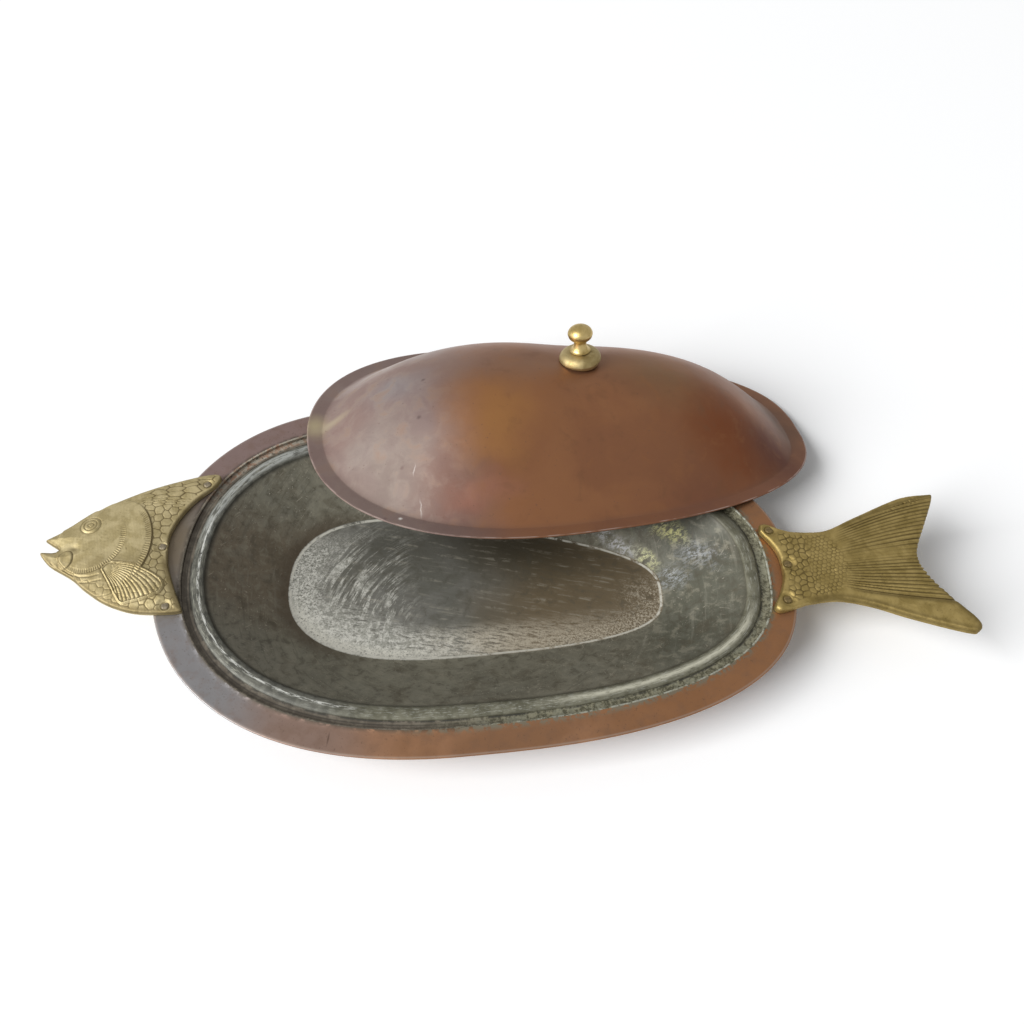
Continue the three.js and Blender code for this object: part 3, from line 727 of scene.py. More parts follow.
def mouth_relief(x, y, depth):
    """The mouth's corner, the lips and the jaw."""
    far = np.hypot((x - MOUTH_CORNER[0]) * 0.8, y - MOUTH_CORNER[1])
    lobe = outside_oval(JAW_LOBE, x, y)
    z = 0.7 * soft_step(-lobe, 1.4) * (1 - 0.4 * soft_step(-lobe - 3, 3))
    z = z - 0.4 * line_at(lobe, 0.5) - 0.9 * line_at(far, 2.6)
    lips = soft_step(1.5 - depth, 1.4) * soft_step(-52 - x, 4) * soft_step(7.5 - np.abs(y + 2), 4)
    dark = [0.6 * line_at(far, 2.3), 0.8 * line_at(lobe, 0.5) * soft_step(x + 64, 3), 0.7 * lips]
    for line in JAW_LINES:
        beside = polyline_distance(line, x, y)
        z = z - 0.35 * line_at(beside, 0.6)
        dark.append(0.6 * line_at(beside, 0.5))
    return z, np.maximum.reduce(dark)


def head_relief(fin_outline, x, y, depth):
    cover, inner = outside_oval(GILL_COVER, x, y), outside_oval(INNER_GILL, x, y)
    carved = [gill_relief(x, y, cover, inner), head_scales(x, y, depth, cover)]
    carved += [eye_relief(x, y), mouth_relief(x, y, depth)]
    z = HEAD_EDGE + HEAD_CROWN * crown_share(depth, HEAD_CROWN_WIDTH) + sum(rise for rise, _ in carved)
    dark = [hollow for _, hollow in carved]
    # painted shade along the head's lower edge
    dark.append(0.65 * soft_step(3.4 - depth, 3.6) * soft_step(-8 - y, 8))
    dark.append(0.4 * soft_step(1.1 - depth, 1.2))
    # painted shade over the lower front of the head
    dark.append(0.4 * soft_step(-10 - y, 16) * soft_step(-6 - x, 12))
    dark.append(0.85 * line_at(outline_distance(fin_outline, x, y) - 0.4, 0.5))
    raised = GILL_STEP * np.maximum(soft_step(-cover, 1.2), soft_step(-inner, 1.2))
    fin = depth_inside(fin_outline, x, y)
    fin_z, fin_dark = fin_relief(x, y, fin)
    z = z + np.where(fin > 0, fin_z + 0.45 * raised, raised)
    hollow = np.where(fin > 0, fin_dark, np.maximum.reduce(dark))
    return z + 0.07 * waves(x, y, 7, 14) + 0.04 * waves(x, y, 2.5, 15), hollow


# Relief of the tail

def fan_across(x, y):
    """Where places lie across the tail's fan, from -1 to 1 between its borders."""
    start, height, slope, bend = FAN_UPPER
    out = np.maximum(x - start, 0)
    upper = height + slope * out - bend * out**2
    start, height, slope, fall, reach = FAN_LOWER
    out = np.maximum(x - start, 0)
    lower = -height - slope * out - fall * (1 - np.exp(-out / reach))
    middle = (upper + lower) / 2
    return (y - middle) / (upper - middle)


def tail_ridges(x, y):
    """1 on the rays of the fan and 0 in the grooves between them."""
    across = fan_across(x, y)
    wander = 0.7 * waves(across * 9, x * 0.015, 5, 6) + 0.16 * waves(across * 30, x * 0.1, 5, 61)
    share = 0.5 + 0.5 * np.cos((across * FAN_RAYS / 2 + wander) * 2 * math.pi)
    fine = 0.5 + 0.5 * np.cos((across * FAN_RAYS * 1.1 + 2 * wander) * 2 * math.pi)
    return 1 - np.maximum((1 - share) ** 2.4, 0.4 * (1 - fine) ** 2)


def fan_relief(x, y):
    across = fan_across(x, y)
    outside = np.maximum(across - 1, -0.9 - across)
    border = soft_step(outside + 0.02, 0.06) * soft_step(x - 24, 16)
    on_fan = soft_step(x - 34 - 9 * waves(across * 6, 0 * x, 3, 8), 14) * (1 - border)
    faint = 0.8 * line_at(across - 0.12, 0.16) * soft_step(74 - x, 30)
    deep = np.clip(0.85 + 0.8 * waves(across * 14, x * 0.06, 7, 31) - 0.6 * faint, 0.12, 1)
    groove = on_fan * (1 - tail_ridges(x, y)) * deep
    edge = 0.5 * line_at(outside, 0.035) * soft_step(x - 36, 12)
    return -0.35 * on_fan * soft_step(x - 40, 30) - 0.6 * groove, np.maximum(0.95 * groove, edge)


def tail_scales(x, y, depth):
    """Large scales at the root and finer ones before the fan."""
    finer = soft_step(x - 12 - 3 * waves(x, y, 20, 3), 5)
    aside_x, aside_y = 0.8 * waves(x, y, 11, 12), 0.8 * waves(x, y, 11, 17)
    big_edge, big_bulge = scale_cells(x + aside_x, y + aside_y, 3.9, 4.4, 2.8, 9)
    slant_x, slant_y = (x + y) * 0.72 + aside_x, (y - x) * 0.72 + aside_y
    small_edge, small_bulge = scale_cells(slant_x, slant_y, 2.6, 3, 0.9, 3)
    groove = np.where(finer > 0.5, 0.75 * line_at(small_edge, 0.28), line_at(big_edge, 0.38))
    bulge = (1 - finer) * 0.12 * big_bulge + finer * 0.05 * small_bulge
    scaled = soft_step(x + 6, 3) * soft_step(34 - 0.02 * (y - 4) ** 2 - x, 5) * soft_step(depth - 3.2, 1.6)
    scaled = scaled * np.clip(0.75 + 0.7 * waves(x, y, 12, 77), 0.25, 1)
    return scaled * (bulge - 0.4 * groove), 0.95 * scaled * groove


def tail_relief(x, y, depth):
    (fan_z, fan_dark), (scale_z, scale_dark) = fan_relief(x, y), tail_scales(x, y, depth)
    z = TAIL_EDGE + TAIL_CROWN * crown_share(depth, TAIL_CROWN_WIDTH) + fan_z + scale_z
    # painted shade along the lower edge of the tail's lower lobe
    low_edge = 0.5 * soft_step(3 - depth, 3.4) * soft_step(-16 - y, 6) * soft_step(x - 6, 10)
    pitted = line_at(np.hypot((x - 78) / 6, y - 0.42 * (x - 78) - 48.6), 2.2)
    pits = soft_step(waves(x, y, 2.4, 40) - 0.3, 0.1) * pitted
    z = z - 0.7 * pits + 0.09 * waves(x, y, 6, 15) + 0.04 * waves(x, y, 2.3, 16)
    return z, np.maximum.reduce([fan_dark, scale_dark, low_edge, pits])


def tail_bend(x):
    return TAIL_RISE * np.maximum(x / TAIL_REACH, 0) ** TAIL_BEND_POWER


# Head, tail and rivets

def flat_points(outline, rivets):
    """The outline, an even lattice inside it and rings on both sides of each rivet hole's edge."""
    low, high = outline.min(0), outline.max(0)
    rows = np.arange(low[1], high[1], CAST_SPACING * math.sqrt(3) / 2)
    columns = np.arange(low[0], high[0], CAST_SPACING)
    y, x = np.meshgrid(rows, columns, indexing="ij")
    x = x + (np.arange(len(rows)) % 2 * CAST_SPACING / 2)[:, None]
    x, y = x.ravel(), y.ravel()
    keep = depth_inside(outline, x, y) > 0.6 * CAST_SPACING
    for rx, ry in rivets:
        keep &= np.abs(np.hypot(x - rx, y - ry) - RIVET_HOLE) > 0.4
    turns = np.linspace(0, 2 * math.pi, HOLE_FACETS, endpoint=False)
    circle = np.stack([np.cos(turns), np.sin(turns)], -1)
    rings = [rivet + (RIVET_HOLE + side) * circle for rivet in rivets for side in (-0.12, 0.12)]
    return np.concatenate([outline, np.stack([x[keep], y[keep]], -1), *rings])


def cast_mesh(name, outline, rivets, seat, relief, bend, end_x, edge_round):
    """A closed cast plate with its relief on top, at the end of the rim that it is riveted to."""
    loop = list(range(len(outline)))
    flat = [Vector(point) for point in flat_points(outline, rivets)]
    flat, _, faces, *_ = delaunay_2d_cdt(flat, [], [loop], 1, 1e-7)
    x, y = np.array([tuple(point) for point in flat]).T
    depth = depth_inside(outline, x, y)
    depth[: len(outline)] = 0
    z, hollow = relief(x, y, depth)
    flank = edge_round - np.minimum(depth, edge_round)
    z = z - edge_round + np.sqrt(edge_round**2 - flank**2)
    for rx, ry in rivets:
        beside = np.hypot(x - rx, y - ry) - RIVET_HOLE
        pad = seat + RIVET_PAD
        z = np.where(beside < 0, seat, pad + (z - pad) * soft_step(beside - 1.5, 3.4))
        hollow = np.where(np.abs(beside) < 0.2, 0.4, hollow * soft_step(beside - 0.8, 1))
    count = len(x)
    sides = [np.stack([x, y, height + bend(x)], -1) + (end_x, 0, CASTING_Z) for height in (z, 0 * z)]
    solid = [tuple(face) for face in faces]
    solid += [tuple(n + count for n in reversed(face)) for face in faces]
    order = -1 if signed_area(outline) < 0 else 1
    for i, j in zip(loop, loop[1:] + loop[:1]):
        solid.append((i + count, j + count, j, i)[::order])
    hollows = np.concatenate([hollow, np.zeros(count)])
    return new_mesh(name, np.concatenate(sides), solid, smooth_below=62, hollow=hollows)


def make_head():
    outline = spline_outline(HEAD_OUTLINE, CAST_SPACING, OUTLINE_INSET)
    relief = partial(head_relief, spline_outline(FIN_OUTLINE, 2 * CAST_SPACING))
    mesh = cast_mesh(
        "head_dressed", outline, HEAD_RIVETS, HEAD_RIVET_SEAT,
        relief, np.zeros_like, HEAD_X, HEAD_EDGE_ROUND,
    )
    add_piece(mesh, [brass("head_brass_aged_and_shaded", HEAD_BRASS)], "dish", "head_handle")


def make_tail():
    outline = spline_outline(TAIL_OUTLINE, CAST_SPACING, OUTLINE_INSET)
    x, y = outline.T
    rear = soft_step(x - 76 - 0.25 * np.abs(y - 6.8), 4) * soft_step(27 - np.abs(y - 10), 6)
    low_half = 0.2 + 0.8 * soft_step(4 - y, 10)
    outline[:, 0] -= TAIL_NOTCH * rear * low_half * (1 - tail_ridges(x, y))
    mesh = cast_mesh(
        "tail_dressed", outline, TAIL_RIVETS, TAIL_RIVET_SEAT,
        tail_relief, tail_bend, TAIL_X, TAIL_EDGE_ROUND,
    )
    add_piece(mesh, [brass("tail_brass_aged_and_shaded", TAIL_BRASS)], "dish", "tail_handle")


def make_rivets():
    grey = rivet_metal("rivet_grey", (0.2, 0.168, 0.115))
    brown = rivet_metal("rivet_brown", (0.15, 0.108, 0.045))
    sets = [
        ("head_rivet_", HEAD_RIVETS, HEAD_X, HEAD_RIVET_SEAT, HEAD_RIVET_DOME, grey, "grey_rivet"),
        ("tail_rivet_", TAIL_RIVETS, TAIL_X, TAIL_RIVET_SEAT, TAIL_RIVET_DOME, brown, "brown_rivet"),
    ]
    for names, rivets, end_x, seat, dome, material, slot in sets:
        for i, (x, y) in enumerate(rivets):
            node = names + str(i + 1)
            mesh = rivet_mesh(node + "_dressed", seat, dome, seed=i + 2)
            place = moved(end_x + x, y, CASTING_Z + seat + GAP)
            add_piece(mesh, [material], "dish", node, place)


# Materials

class Finish:
    """A material whose colour, roughness and fine relief come from nodes in the piece's own space."""

    def __init__(self, name, metallic=1.0, dressed=True):
        self.material = bpy.data.materials.new(name)
        self.material.use_nodes = True
        self.tree = self.material.node_tree
        self.shader = self.tree.nodes["Principled BSDF"]
        self.shader.inputs["Metallic"].default_value = metallic
        if dressed:
            self.here = self.node("Attribute", attribute_name="own_place").outputs["Vector"]
        else:
            self.here = self.node("TexCoord").outputs["Object"]

    def node(self, kind, sockets=(), **settings):
        """A new node; sockets pairs its inputs with their values or links."""
        made = self.tree.nodes.new("ShaderNode" + kind)
        for key, value in settings.items():
            setattr(made, key, value)
        for key, value in dict(sockets).items():
            self.put(value, made.inputs[key])
        return made

    def put(self, value, socket):
        if isinstance(value, bpy.types.NodeSocket):
            self.tree.links.new(value, socket)
        elif isinstance(value, tuple) and socket.type == "RGBA":
            socket.default_value = (*value, 1)
        else:
            socket.default_value = value

    def math(self, operation, a, b=0.0):
        return self.node("Math", {0: a, 1: b}, operation=operation).outputs[0]

    def times(self, *values):
        """The product of values; a tuple among them is a gate."""
        shares = [self.gate(*value) if isinstance(value, tuple) else value for value in values]
        return reduce(lambda a, b: self.math("MULTIPLY", a, b), shares)

    def plus(self, *values):
        return reduce(lambda a, b: self.math("ADD", a, b), values)

    def most(self, *values):
        return reduce(lambda a, b: self.math("MAXIMUM", a, b), values)

    def between(self, value, low, high):
        """0 at low, 1 at high, smooth between."""
        sockets = {"Value": value, "From Min": low, "From Max": high}
        return self.node("MapRange", sockets, interpolation_type="SMOOTHSTEP").outputs[0]

    def band(self, value, low, high, soft):
        """1 between two values, with soft ends."""
        rise = self.between(value, low - soft, low + soft)
        return self.times(rise, self.between(value, high + soft, high - soft))

    def gate(self, value, low, high, soft=None):
        """A rise from low to high or, where a softness is given, a band between them."""
        return self.between(value, low, high) if soft is None else self.band(value, low, high, soft)

    def number(self, name):
        return self.node("Attribute", attribute_name=name).outputs["Fac"]

    def axis(self, letter):
        return self.node("SeparateXYZ", {0: self.here}).outputs[letter]

    def vector(self, x, y):
        return self.node("CombineXYZ", {0: x, 1: y}).outputs[0]

    def turned(self, place, turn):
        sockets = {"Vector": place, "Angle": math.radians(turn)}
        return self.node("VectorRotate", sockets, rotation_type="Z_AXIS").outputs[0]

    def vectors(self, operation, *places):
        return self.node("VectorMath", enumerate(places), operation=operation)

    def stretched(self, x, y, turn):
        """Coordinates, stretched by two factors after a turn about Z in degrees."""
        return self.vectors("MULTIPLY", self.turned(self.here, turn), (x, y, 1)).outputs[0]

    def noise(self, size, detail=3, rough=0.5, place=None, swirl=0.0, output=0):
        """Cloudy values from 0 to 1 with marks about size millimetres across."""
        sockets = {"Vector": self.here if place is None else place, "Scale": 1 / (size * MM)}
        sockets |= {"Detail": detail, "Roughness": rough, "Distortion": swirl}
        return self.node("TexNoise", sockets).outputs[output]

    def pattern(self, place, detail, rough):
        """Noise on coordinates that have their own scale."""
        return self.noise(1 / MM, detail, rough, place)

    def scratches(self, turn, length, width, low, high):
        """Thin streaks along one direction; sizes in metres."""
        streaks = self.pattern(self.stretched(1 / length, 1 / width, turn), 2, 0.6)
        return self.between(streaks, low, high)

    def drifting(self, value, size, amount):
        """A value whose lines wander by about the amount."""
        return self.plus(value, self.times(self.math("SUBTRACT", self.noise(size), 0.5), amount))

    def wobbled(self, size, amount):
        """Coordinates moved about by up to the amount in millimetres, for ragged patches."""
        centred = self.vectors("SUBTRACT", self.noise(size, 4, output=1), (0.5, 0.5, 0.5)).outputs[0]
        return self.vectors("MULTIPLY_ADD", centred, (4 * amount * MM,) * 3, self.here).outputs[0]

    def round_about(self, x, y, reach):
        """Distance and way round about a centre, in metres; the way round is measured at the reach."""
        dx = self.math("SUBTRACT", self.axis("X"), x * MM)
        dy = self.math("SUBTRACT", self.axis("Y"), y * MM)
        far = self.math("SQRT", self.plus(self.times(dx, dx), self.times(dy, dy)))
        return far, self.times(self.math("ARCTAN2", dy, dx), reach * MM)

    def mix(self, share, a, b):
        return self.node("Mix", {0: share, 6: a, 7: b}, data_type="RGBA").outputs[2]

    def over(self, colour, tone, *shares):
        """A tone laid over a colour, in the product of the shares and gates."""
        return self.mix(self.times(*shares), colour, tone)

    def veils(self, colour, *rows):
        """Tones laid over a colour, each between two values and in a share."""
        for value, low, high, share, tone in rows:
            colour = self.over(colour, tone, self.between(value, low, high), share)
        return colour

    def spot(self, centre, reach, turn=0.0, place=None):
        """1 at a place in millimetres, falling to 0 at the reach along each axis after a turn about Z."""
        place = self.here if place is None else place
        moved = self.vectors("SUBTRACT", place, Vector((*centre, 0)) * MM).outputs[0]
        sizes = Vector((*reach, SPOT_HEIGHT)) * MM
        scaled = self.vectors("DIVIDE", self.turned(moved, -turn), sizes).outputs[0]
        return self.between(self.vectors("LENGTH", scaled).outputs["Value"], 1, 0)

    def spots(self, colour, rows, place=None, broken=1.0):
        """Patches laid over a colour: (centre, reach, turn, share, tone)."""
        for centre, reach, turn, share, tone in rows:
            colour = self.over(colour, tone, self.spot(centre, reach, turn, place), share, broken)
        return colour

    def finish(self, colour, roughness, relief, height):
        """The material; height is the depth of its fine relief in millimetres."""
        bump = self.node("Bump", {"Strength": 1, "Distance": height * MM, "Height": relief})
        looks = {"Base Color": colour, "Roughness": roughness, "Normal": bump.outputs[0]}
        for key, value in looks.items():
            self.put(value, self.shader.inputs[key])
        return self.material


PAN_MARKS = [
    ((-200, 8), (28, 74), 0, 1.0, (0.2, 0.158, 0.105)),
    ((178, 64), (34, 34), 0, 0.6, (0.2, 0.1, 0.05)),
]
PAN_SCRATCH = [((-83.6, -126), (0.8, 6.4), -6, 0.8, (0.1, 0.06, 0.045))]


def copper_of_pan():
    f = Finish("copper_pan_tarnish_and_painted_reflection", metallic=0.85)
    zone, x, y = f.number("zone"), f.axis("X"), f.axis("Y")
    clouds, blots = f.noise(45, 4, 0.55, swirl=0.6), f.noise(7, 4, 0.6)
    leftward = f.drifting(x, 50, 0.05)
    colour = f.mix(f.between(clouds, 0.38, 0.62), (0.37, 0.195, 0.105), (0.29, 0.15, 0.078))
    # the left end turns mauve and then grey: tarnish with a painted reflection of the bright surroundings
    colour = f.veils(
        colour,
        (leftward, 0.04, 0.12, 0.7, (0.3, 0.142, 0.062)),
        (leftward, -0.035, -0.1, 1, (0.285, 0.195, 0.155)),
        (leftward, -0.11, -0.165, 1, (0.265, 0.255, 0.256)),
    )
    colour = f.over(colour, (0.28, 0.192, 0.172), (y, 0.02, 0.07), (x, -0.06, -0.11), 0.9)
    colour = f.veils(colour, (blots, 0.45, 0.7, 0.3, (0.2, 0.12, 0.08)))
    colour = f.spots(colour, PAN_MARKS, f.wobbled(9, 2))
    colour = f.spots(colour, PAN_SCRATCH)
    colour = f.veils(colour, (f.noise(1.8, 2, 0.7), 0.62, 0.72, 0.4, (0.11, 0.07, 0.05)))
    rim = f.times((zone, 5.93, 5.99), (zone, 6.4, 6.1))
    colour = f.over(colour, (0.5, 0.42, 0.37), rim, 0.35)
    soot = f.times((zone, 5.2, 5.0), (blots, 0.36, 0.5), (x, 0.05, -0.03))
    colour = f.over(colour, (0.07, 0.06, 0.045), soot, 0.75)
    spill = f.times((zone, 5.3, 5.05), (f.noise(4, 4, 0.7), 0.46, 0.54))
    colour = f.over(colour, (0.2, 0.195, 0.145), spill, (x, -0.06, 0.0), 0.8)
    roughness = f.plus(0.4, f.times(f.noise(12, 4, 0.6), 0.2))
    return f.finish(colour, roughness, f.noise(14, 3), 0.25)


# Tints of the lid, partly tarnish and partly painted light: a sheen on the rear-left crest, a highlight on
# the left shoulder, a paler left end and a darker right end. Rows are (centre, reach, turn, share, tone)
LID_TINTS_AND_LIGHT = [
    ((-150, -15), (75, 110), 0, 1.0, (0.285, 0.195, 0.168)),
    ((-95, 20), (70, 50), 0, 0.9, (0.265, 0.175, 0.145)),
    # painted sheen along the rear-left crest
    ((-116, 52), (64, 24), -6, 0.9, (0.49, 0.425, 0.395)),
    ((-128, -66), (60, 62), 30, 1.0, (0.255, 0.2, 0.172)),
    ((-142, -36), (34, 30), 0, 0.6, (0.32, 0.27, 0.24)),
    # pale blue-grey patch, partly a painted highlight
    ((-122, 2), (34, 30), 10, 1.0, (0.275, 0.235, 0.23)),
    ((-104, -28), (28, 30), 0, 0.9, (0.235, 0.17, 0.158)),
    ((-90, -80), (36, 44), 0, 0.9, (0.19, 0.1, 0.076)),
    ((-92, -100), (46, 22), 8, 0.85, (0.17, 0.1, 0.082)),
    ((-58, -36), (56, 48), -20, 0.9, (0.34, 0.15, 0.055)),
    ((-53, -44), (32, 42), 0, 0.7, (0.35, 0.165, 0.052)),
    ((-72, -88), (38, 18), 5, 0.7, (0.31, 0.135, 0.09)),
    ((-20, 2), (90, 36), 0, 0.6, (0.24, 0.145, 0.095)),
    ((64, -10), (60, 36), 0, 0.8, (0.225, 0.135, 0.068)),
    # darker towards the right end, away from the lamp: tarnish with painted shade
    ((108, -40), (58, 50), -20, 1.0, (0.2, 0.058, 0.017)),
    ((150, -46), (44, 40), -20, 1.0, (0.115, 0.034, 0.016)),
    ((84, -90), (90, 34), 12, 0.75, (0.195, 0.078, 0.043)),
    ((164, 0), (36, 56), 20, 0.9, (0.12, 0.062, 0.034)),
]
LID_MARKS = [
    ((-177, 11), (14, 21), 0, 1.0, (0.44, 0.365, 0.235)),
    ((-165, 8), (19, 7), 10, 0.8, (0.42, 0.35, 0.25)),
    ((-112.6, -66), (5, 0.8), 76, 0.7, (0.5, 0.45, 0.42)),
    ((-109.5, -88), (7, 0.8), 93, 0.7, (0.5, 0.45, 0.42)),
    ((-123.4, -92.6), (2, 2), 0, 1.0, (0.75, 0.72, 0.68)),
    ((-107.2, -33.5), (2.2, 2), 0, 0.9, (0.13, 0.09, 0.085)),
    ((-119.6, -62.3), (2, 2), 0, 0.8, (0.18, 0.12, 0.11)),
    ((-101.6, 0.2), (2.6, 1.9), 20, 0.9, (0.13, 0.09, 0.085)),
    ((-133, -92), (2, 2), 0, 0.8, (0.18, 0.12, 0.11)),
]


def copper_of_lid():
    f = Finish("copper_lid_tarnish_and_painted_light", metallic=0.7)
    zone, x = f.number("zone"), f.axis("X")
    clouds, blots = f.noise(60, 4, 0.5, swirl=0.5), f.noise(15, 4, 0.6, swirl=0.4)
    colour = f.mix(f.between(clouds, 0.4, 0.6), (0.285, 0.125, 0.056), (0.245, 0.105, 0.05))
    # paler and mauve towards the left end, which faces the lamp: tarnish with painted light
    colour = f.veils(colour, (x, -0.05, -0.12, 1, (0.27, 0.2, 0.18)))
    colour = f.spots(colour, LID_TINTS_AND_LIGHT, f.wobbled(30, 9))
    left, right = f.between(x, -0.06, -0.13), f.between(x, -0.1, -0.04)
    colour = f.over(colour, (0.35, 0.3, 0.26), left, (blots, 0.44, 0.66), 0.45)
    colour = f.over(colour, (0.2, 0.145, 0.135), left, (blots, 0.5, 0.32), 0.22)
    colour = f.veils(colour, (blots, 0.52, 0.7, 0.25, (0.3, 0.13, 0.05)))
    # dark blots on the right, away from the lamp: tarnish with painted shade
    colour = f.over(colour, (0.17, 0.08, 0.04), (blots, 0.46, 0.3), right, 0.3)
    flange = f.times((zone, 0.97, 1.1), (zone, 2.6, 2.2))
    colour = f.over(colour, (0.225, 0.158, 0.14), flange, (x, -0.02, -0.1), 0.6)
    colour = f.over(colour, (0.2, 0.11, 0.08), flange, (x, -0.1, -0.02), 0.2)
    colour = f.over(colour, (0.13, 0.075, 0.06), (zone, 0.93, 1.06, 0.05), 0.2)
    worn_edge = f.times((zone, 1.97, 2.28, 0.03), (f.noise(14, 3), 0.4, 0.55))
    colour = f.over(colour, (0.5, 0.4, 0.36), worn_edge, 0.7)
    colour = f.spots(colour, LID_MARKS, f.wobbled(5, 0.8))
    colour = f.veils(colour, (f.noise(2.4, 2, 0.7), 0.67, 0.74, 0.45, (0.14, 0.085, 0.06)))
    roughness = f.plus(0.34, f.times(left, 0.3), f.times(f.noise(18, 4, 0.6), 0.16))
    return f.finish(colour, roughness, f.plus(f.noise(22, 3), f.times(blots, 0.15)), 0.3)


GLINTS = [
    ((98, 39), (27, 8), -32, 0.8, (0.62, 0.62, 0.64)),
    ((112, 57), (30, 12), -20, 0.5, (0.5, 0.52, 0.56)),
    ((119, 26), (15, 8), -40, 0.85, (0.68, 0.67, 0.36)),
    ((133, 43), (21, 8), -38, 0.75, (0.66, 0.63, 0.26)),
    ((152, 22), (23, 12), -40, 0.5, (0.43, 0.445, 0.465)),
    ((135, 10), (14, 14), 0, 0.6, (0.48, 0.5, 0.52)),
]
WALL_PALE = [((-138, -68), (74, 32), -35, 0.6, (0.275, 0.255, 0.2))]
# Painted shade on the right wall, where the lamp's reflection is too bright
WALL_PAINTED_SHADE = [((150, 32), (40, 30), 0, 0.9, (0.04, 0.04, 0.028))]


def wall_tone(f, at):
    """The dull wall, with a painted shade on its right, under its nicks and glints."""
    lumps = f.noise(15, 4, 0.6, swirl=0.5)
    along_x = f.drifting(at.x, 50, 0.08)
    tone = f.mix(f.between(at.clouds, 0.36, 0.64), (0.21, 0.197, 0.147), (0.16, 0.149, 0.11))
    low_left = f.times((along_x, -0.05, -0.12), (at.y, 0.06, 0.02))
    tone = f.over(tone, (0.168, 0.136, 0.092), low_left, (at.y, -0.06, -0.02))
    tone = f.spots(tone, WALL_PALE, f.wobbled(12, 3))
    tone = f.veils(tone, (along_x, 0.09, 0.14, 0.85, (0.086, 0.086, 0.062)))
    # painted shade on the right wall
    tone = f.spots(tone, WALL_PAINTED_SHADE)
    far, way = f.round_about(-15, 0, 150)
    rubs = f.pattern(f.vector(f.times(far, 330), f.times(way, 24)), 3, 0.65)
    return f.veils(
        tone,
        (lumps, 0.5, 0.64, 0.24, (0.2, 0.195, 0.155)),
        (lumps, 0.48, 0.34, 0.45, (0.095, 0.078, 0.05)),
        (at.blots, 0.5, 0.66, 0.5, (0.26, 0.24, 0.18)),
        (at.blots, 0.48, 0.34, 0.55, (0.08, 0.07, 0.048)),
        (rubs, 0.56, 0.68, 0.22, (0.3, 0.285, 0.225)),
        (rubs, 0.44, 0.34, 0.35, (0.08, 0.072, 0.05)),
    )


def wall_looks(f, at):
    patchy = f.between(at.clouds, 0.42, 0.58)
    nicks = f.most(
        f.scratches(-52, 0.011, 0.0013, 0.66, 0.74),
        f.scratches(33, 0.014, 0.0013, 0.68, 0.76),
        f.scratches(75, 0.009, 0.0012, 0.68, 0.76),
    )
    tone = f.over(wall_tone(f, at), (0.4, 0.36, 0.28), nicks, patchy, 0.55)
    tone = f.over(tone, (0.44, 0.4, 0.32), (at.grain, 0.63, 0.7), patchy, 0.85)
    tone = f.veils(tone, (at.grain, 0.38, 0.3, 0.6, (0.06, 0.05, 0.035)))
    # painted shade at the foot of the left wall, beside the floor
    tone = f.over(tone, (0.07, 0.05, 0.03), (at.zone, 1.26, 1.0), (at.x, -0.06, -0.115), 0.8)
    flakes = f.pattern(f.stretched(260, 480, -20), 5, 0.85)
    flakes = f.times((flakes, 0.47, 0.53), (f.noise(7, 3, 0.6), 0.36, 0.5))
    return f.spots(tone, GLINTS, f.wobbled(12, 3), flakes)


# Painted shadows of the lid on the pan's floor: (centre, reach, turn, share, tone)
FLOOR_LID_SHADOWS = [
    ((22, 36), (92, 46), -6, 0.85, (0.046, 0.038, 0.023)),
    ((-52, 38), (56, 26), 0, 0.6, (0.08, 0.076, 0.062)),
]


def floor_tone(f, at, along_x):
    """The dull floor, with the lid's shadow painted on it, under its worn patches."""
    tone = f.mix(f.between(at.clouds, 0.38, 0.62), (0.16, 0.155, 0.134), (0.122, 0.118, 0.097))
    tone = f.veils(tone, (along_x, -0.02, 0.05, 1, (0.134, 0.1, 0.057)))
    tone = f.spots(tone, FLOOR_LID_SHADOWS, f.wobbled(14, 4))
    tone = f.veils(tone, (at.blots, 0.48, 0.32, 0.45, (0.085, 0.076, 0.055)))
    streaks = f.pattern(f.stretched(30, 300, 8), 4, 0.65)
    rubbed = f.times((streaks, 0.5, 0.66), (at.blots, 0.4, 0.6))
    tone = f.over(tone, (0.36, 0.33, 0.26), rubbed, 0.4)
    return f.veils(tone, (streaks, 0.46, 0.34, 0.22, (0.09, 0.078, 0.055)))


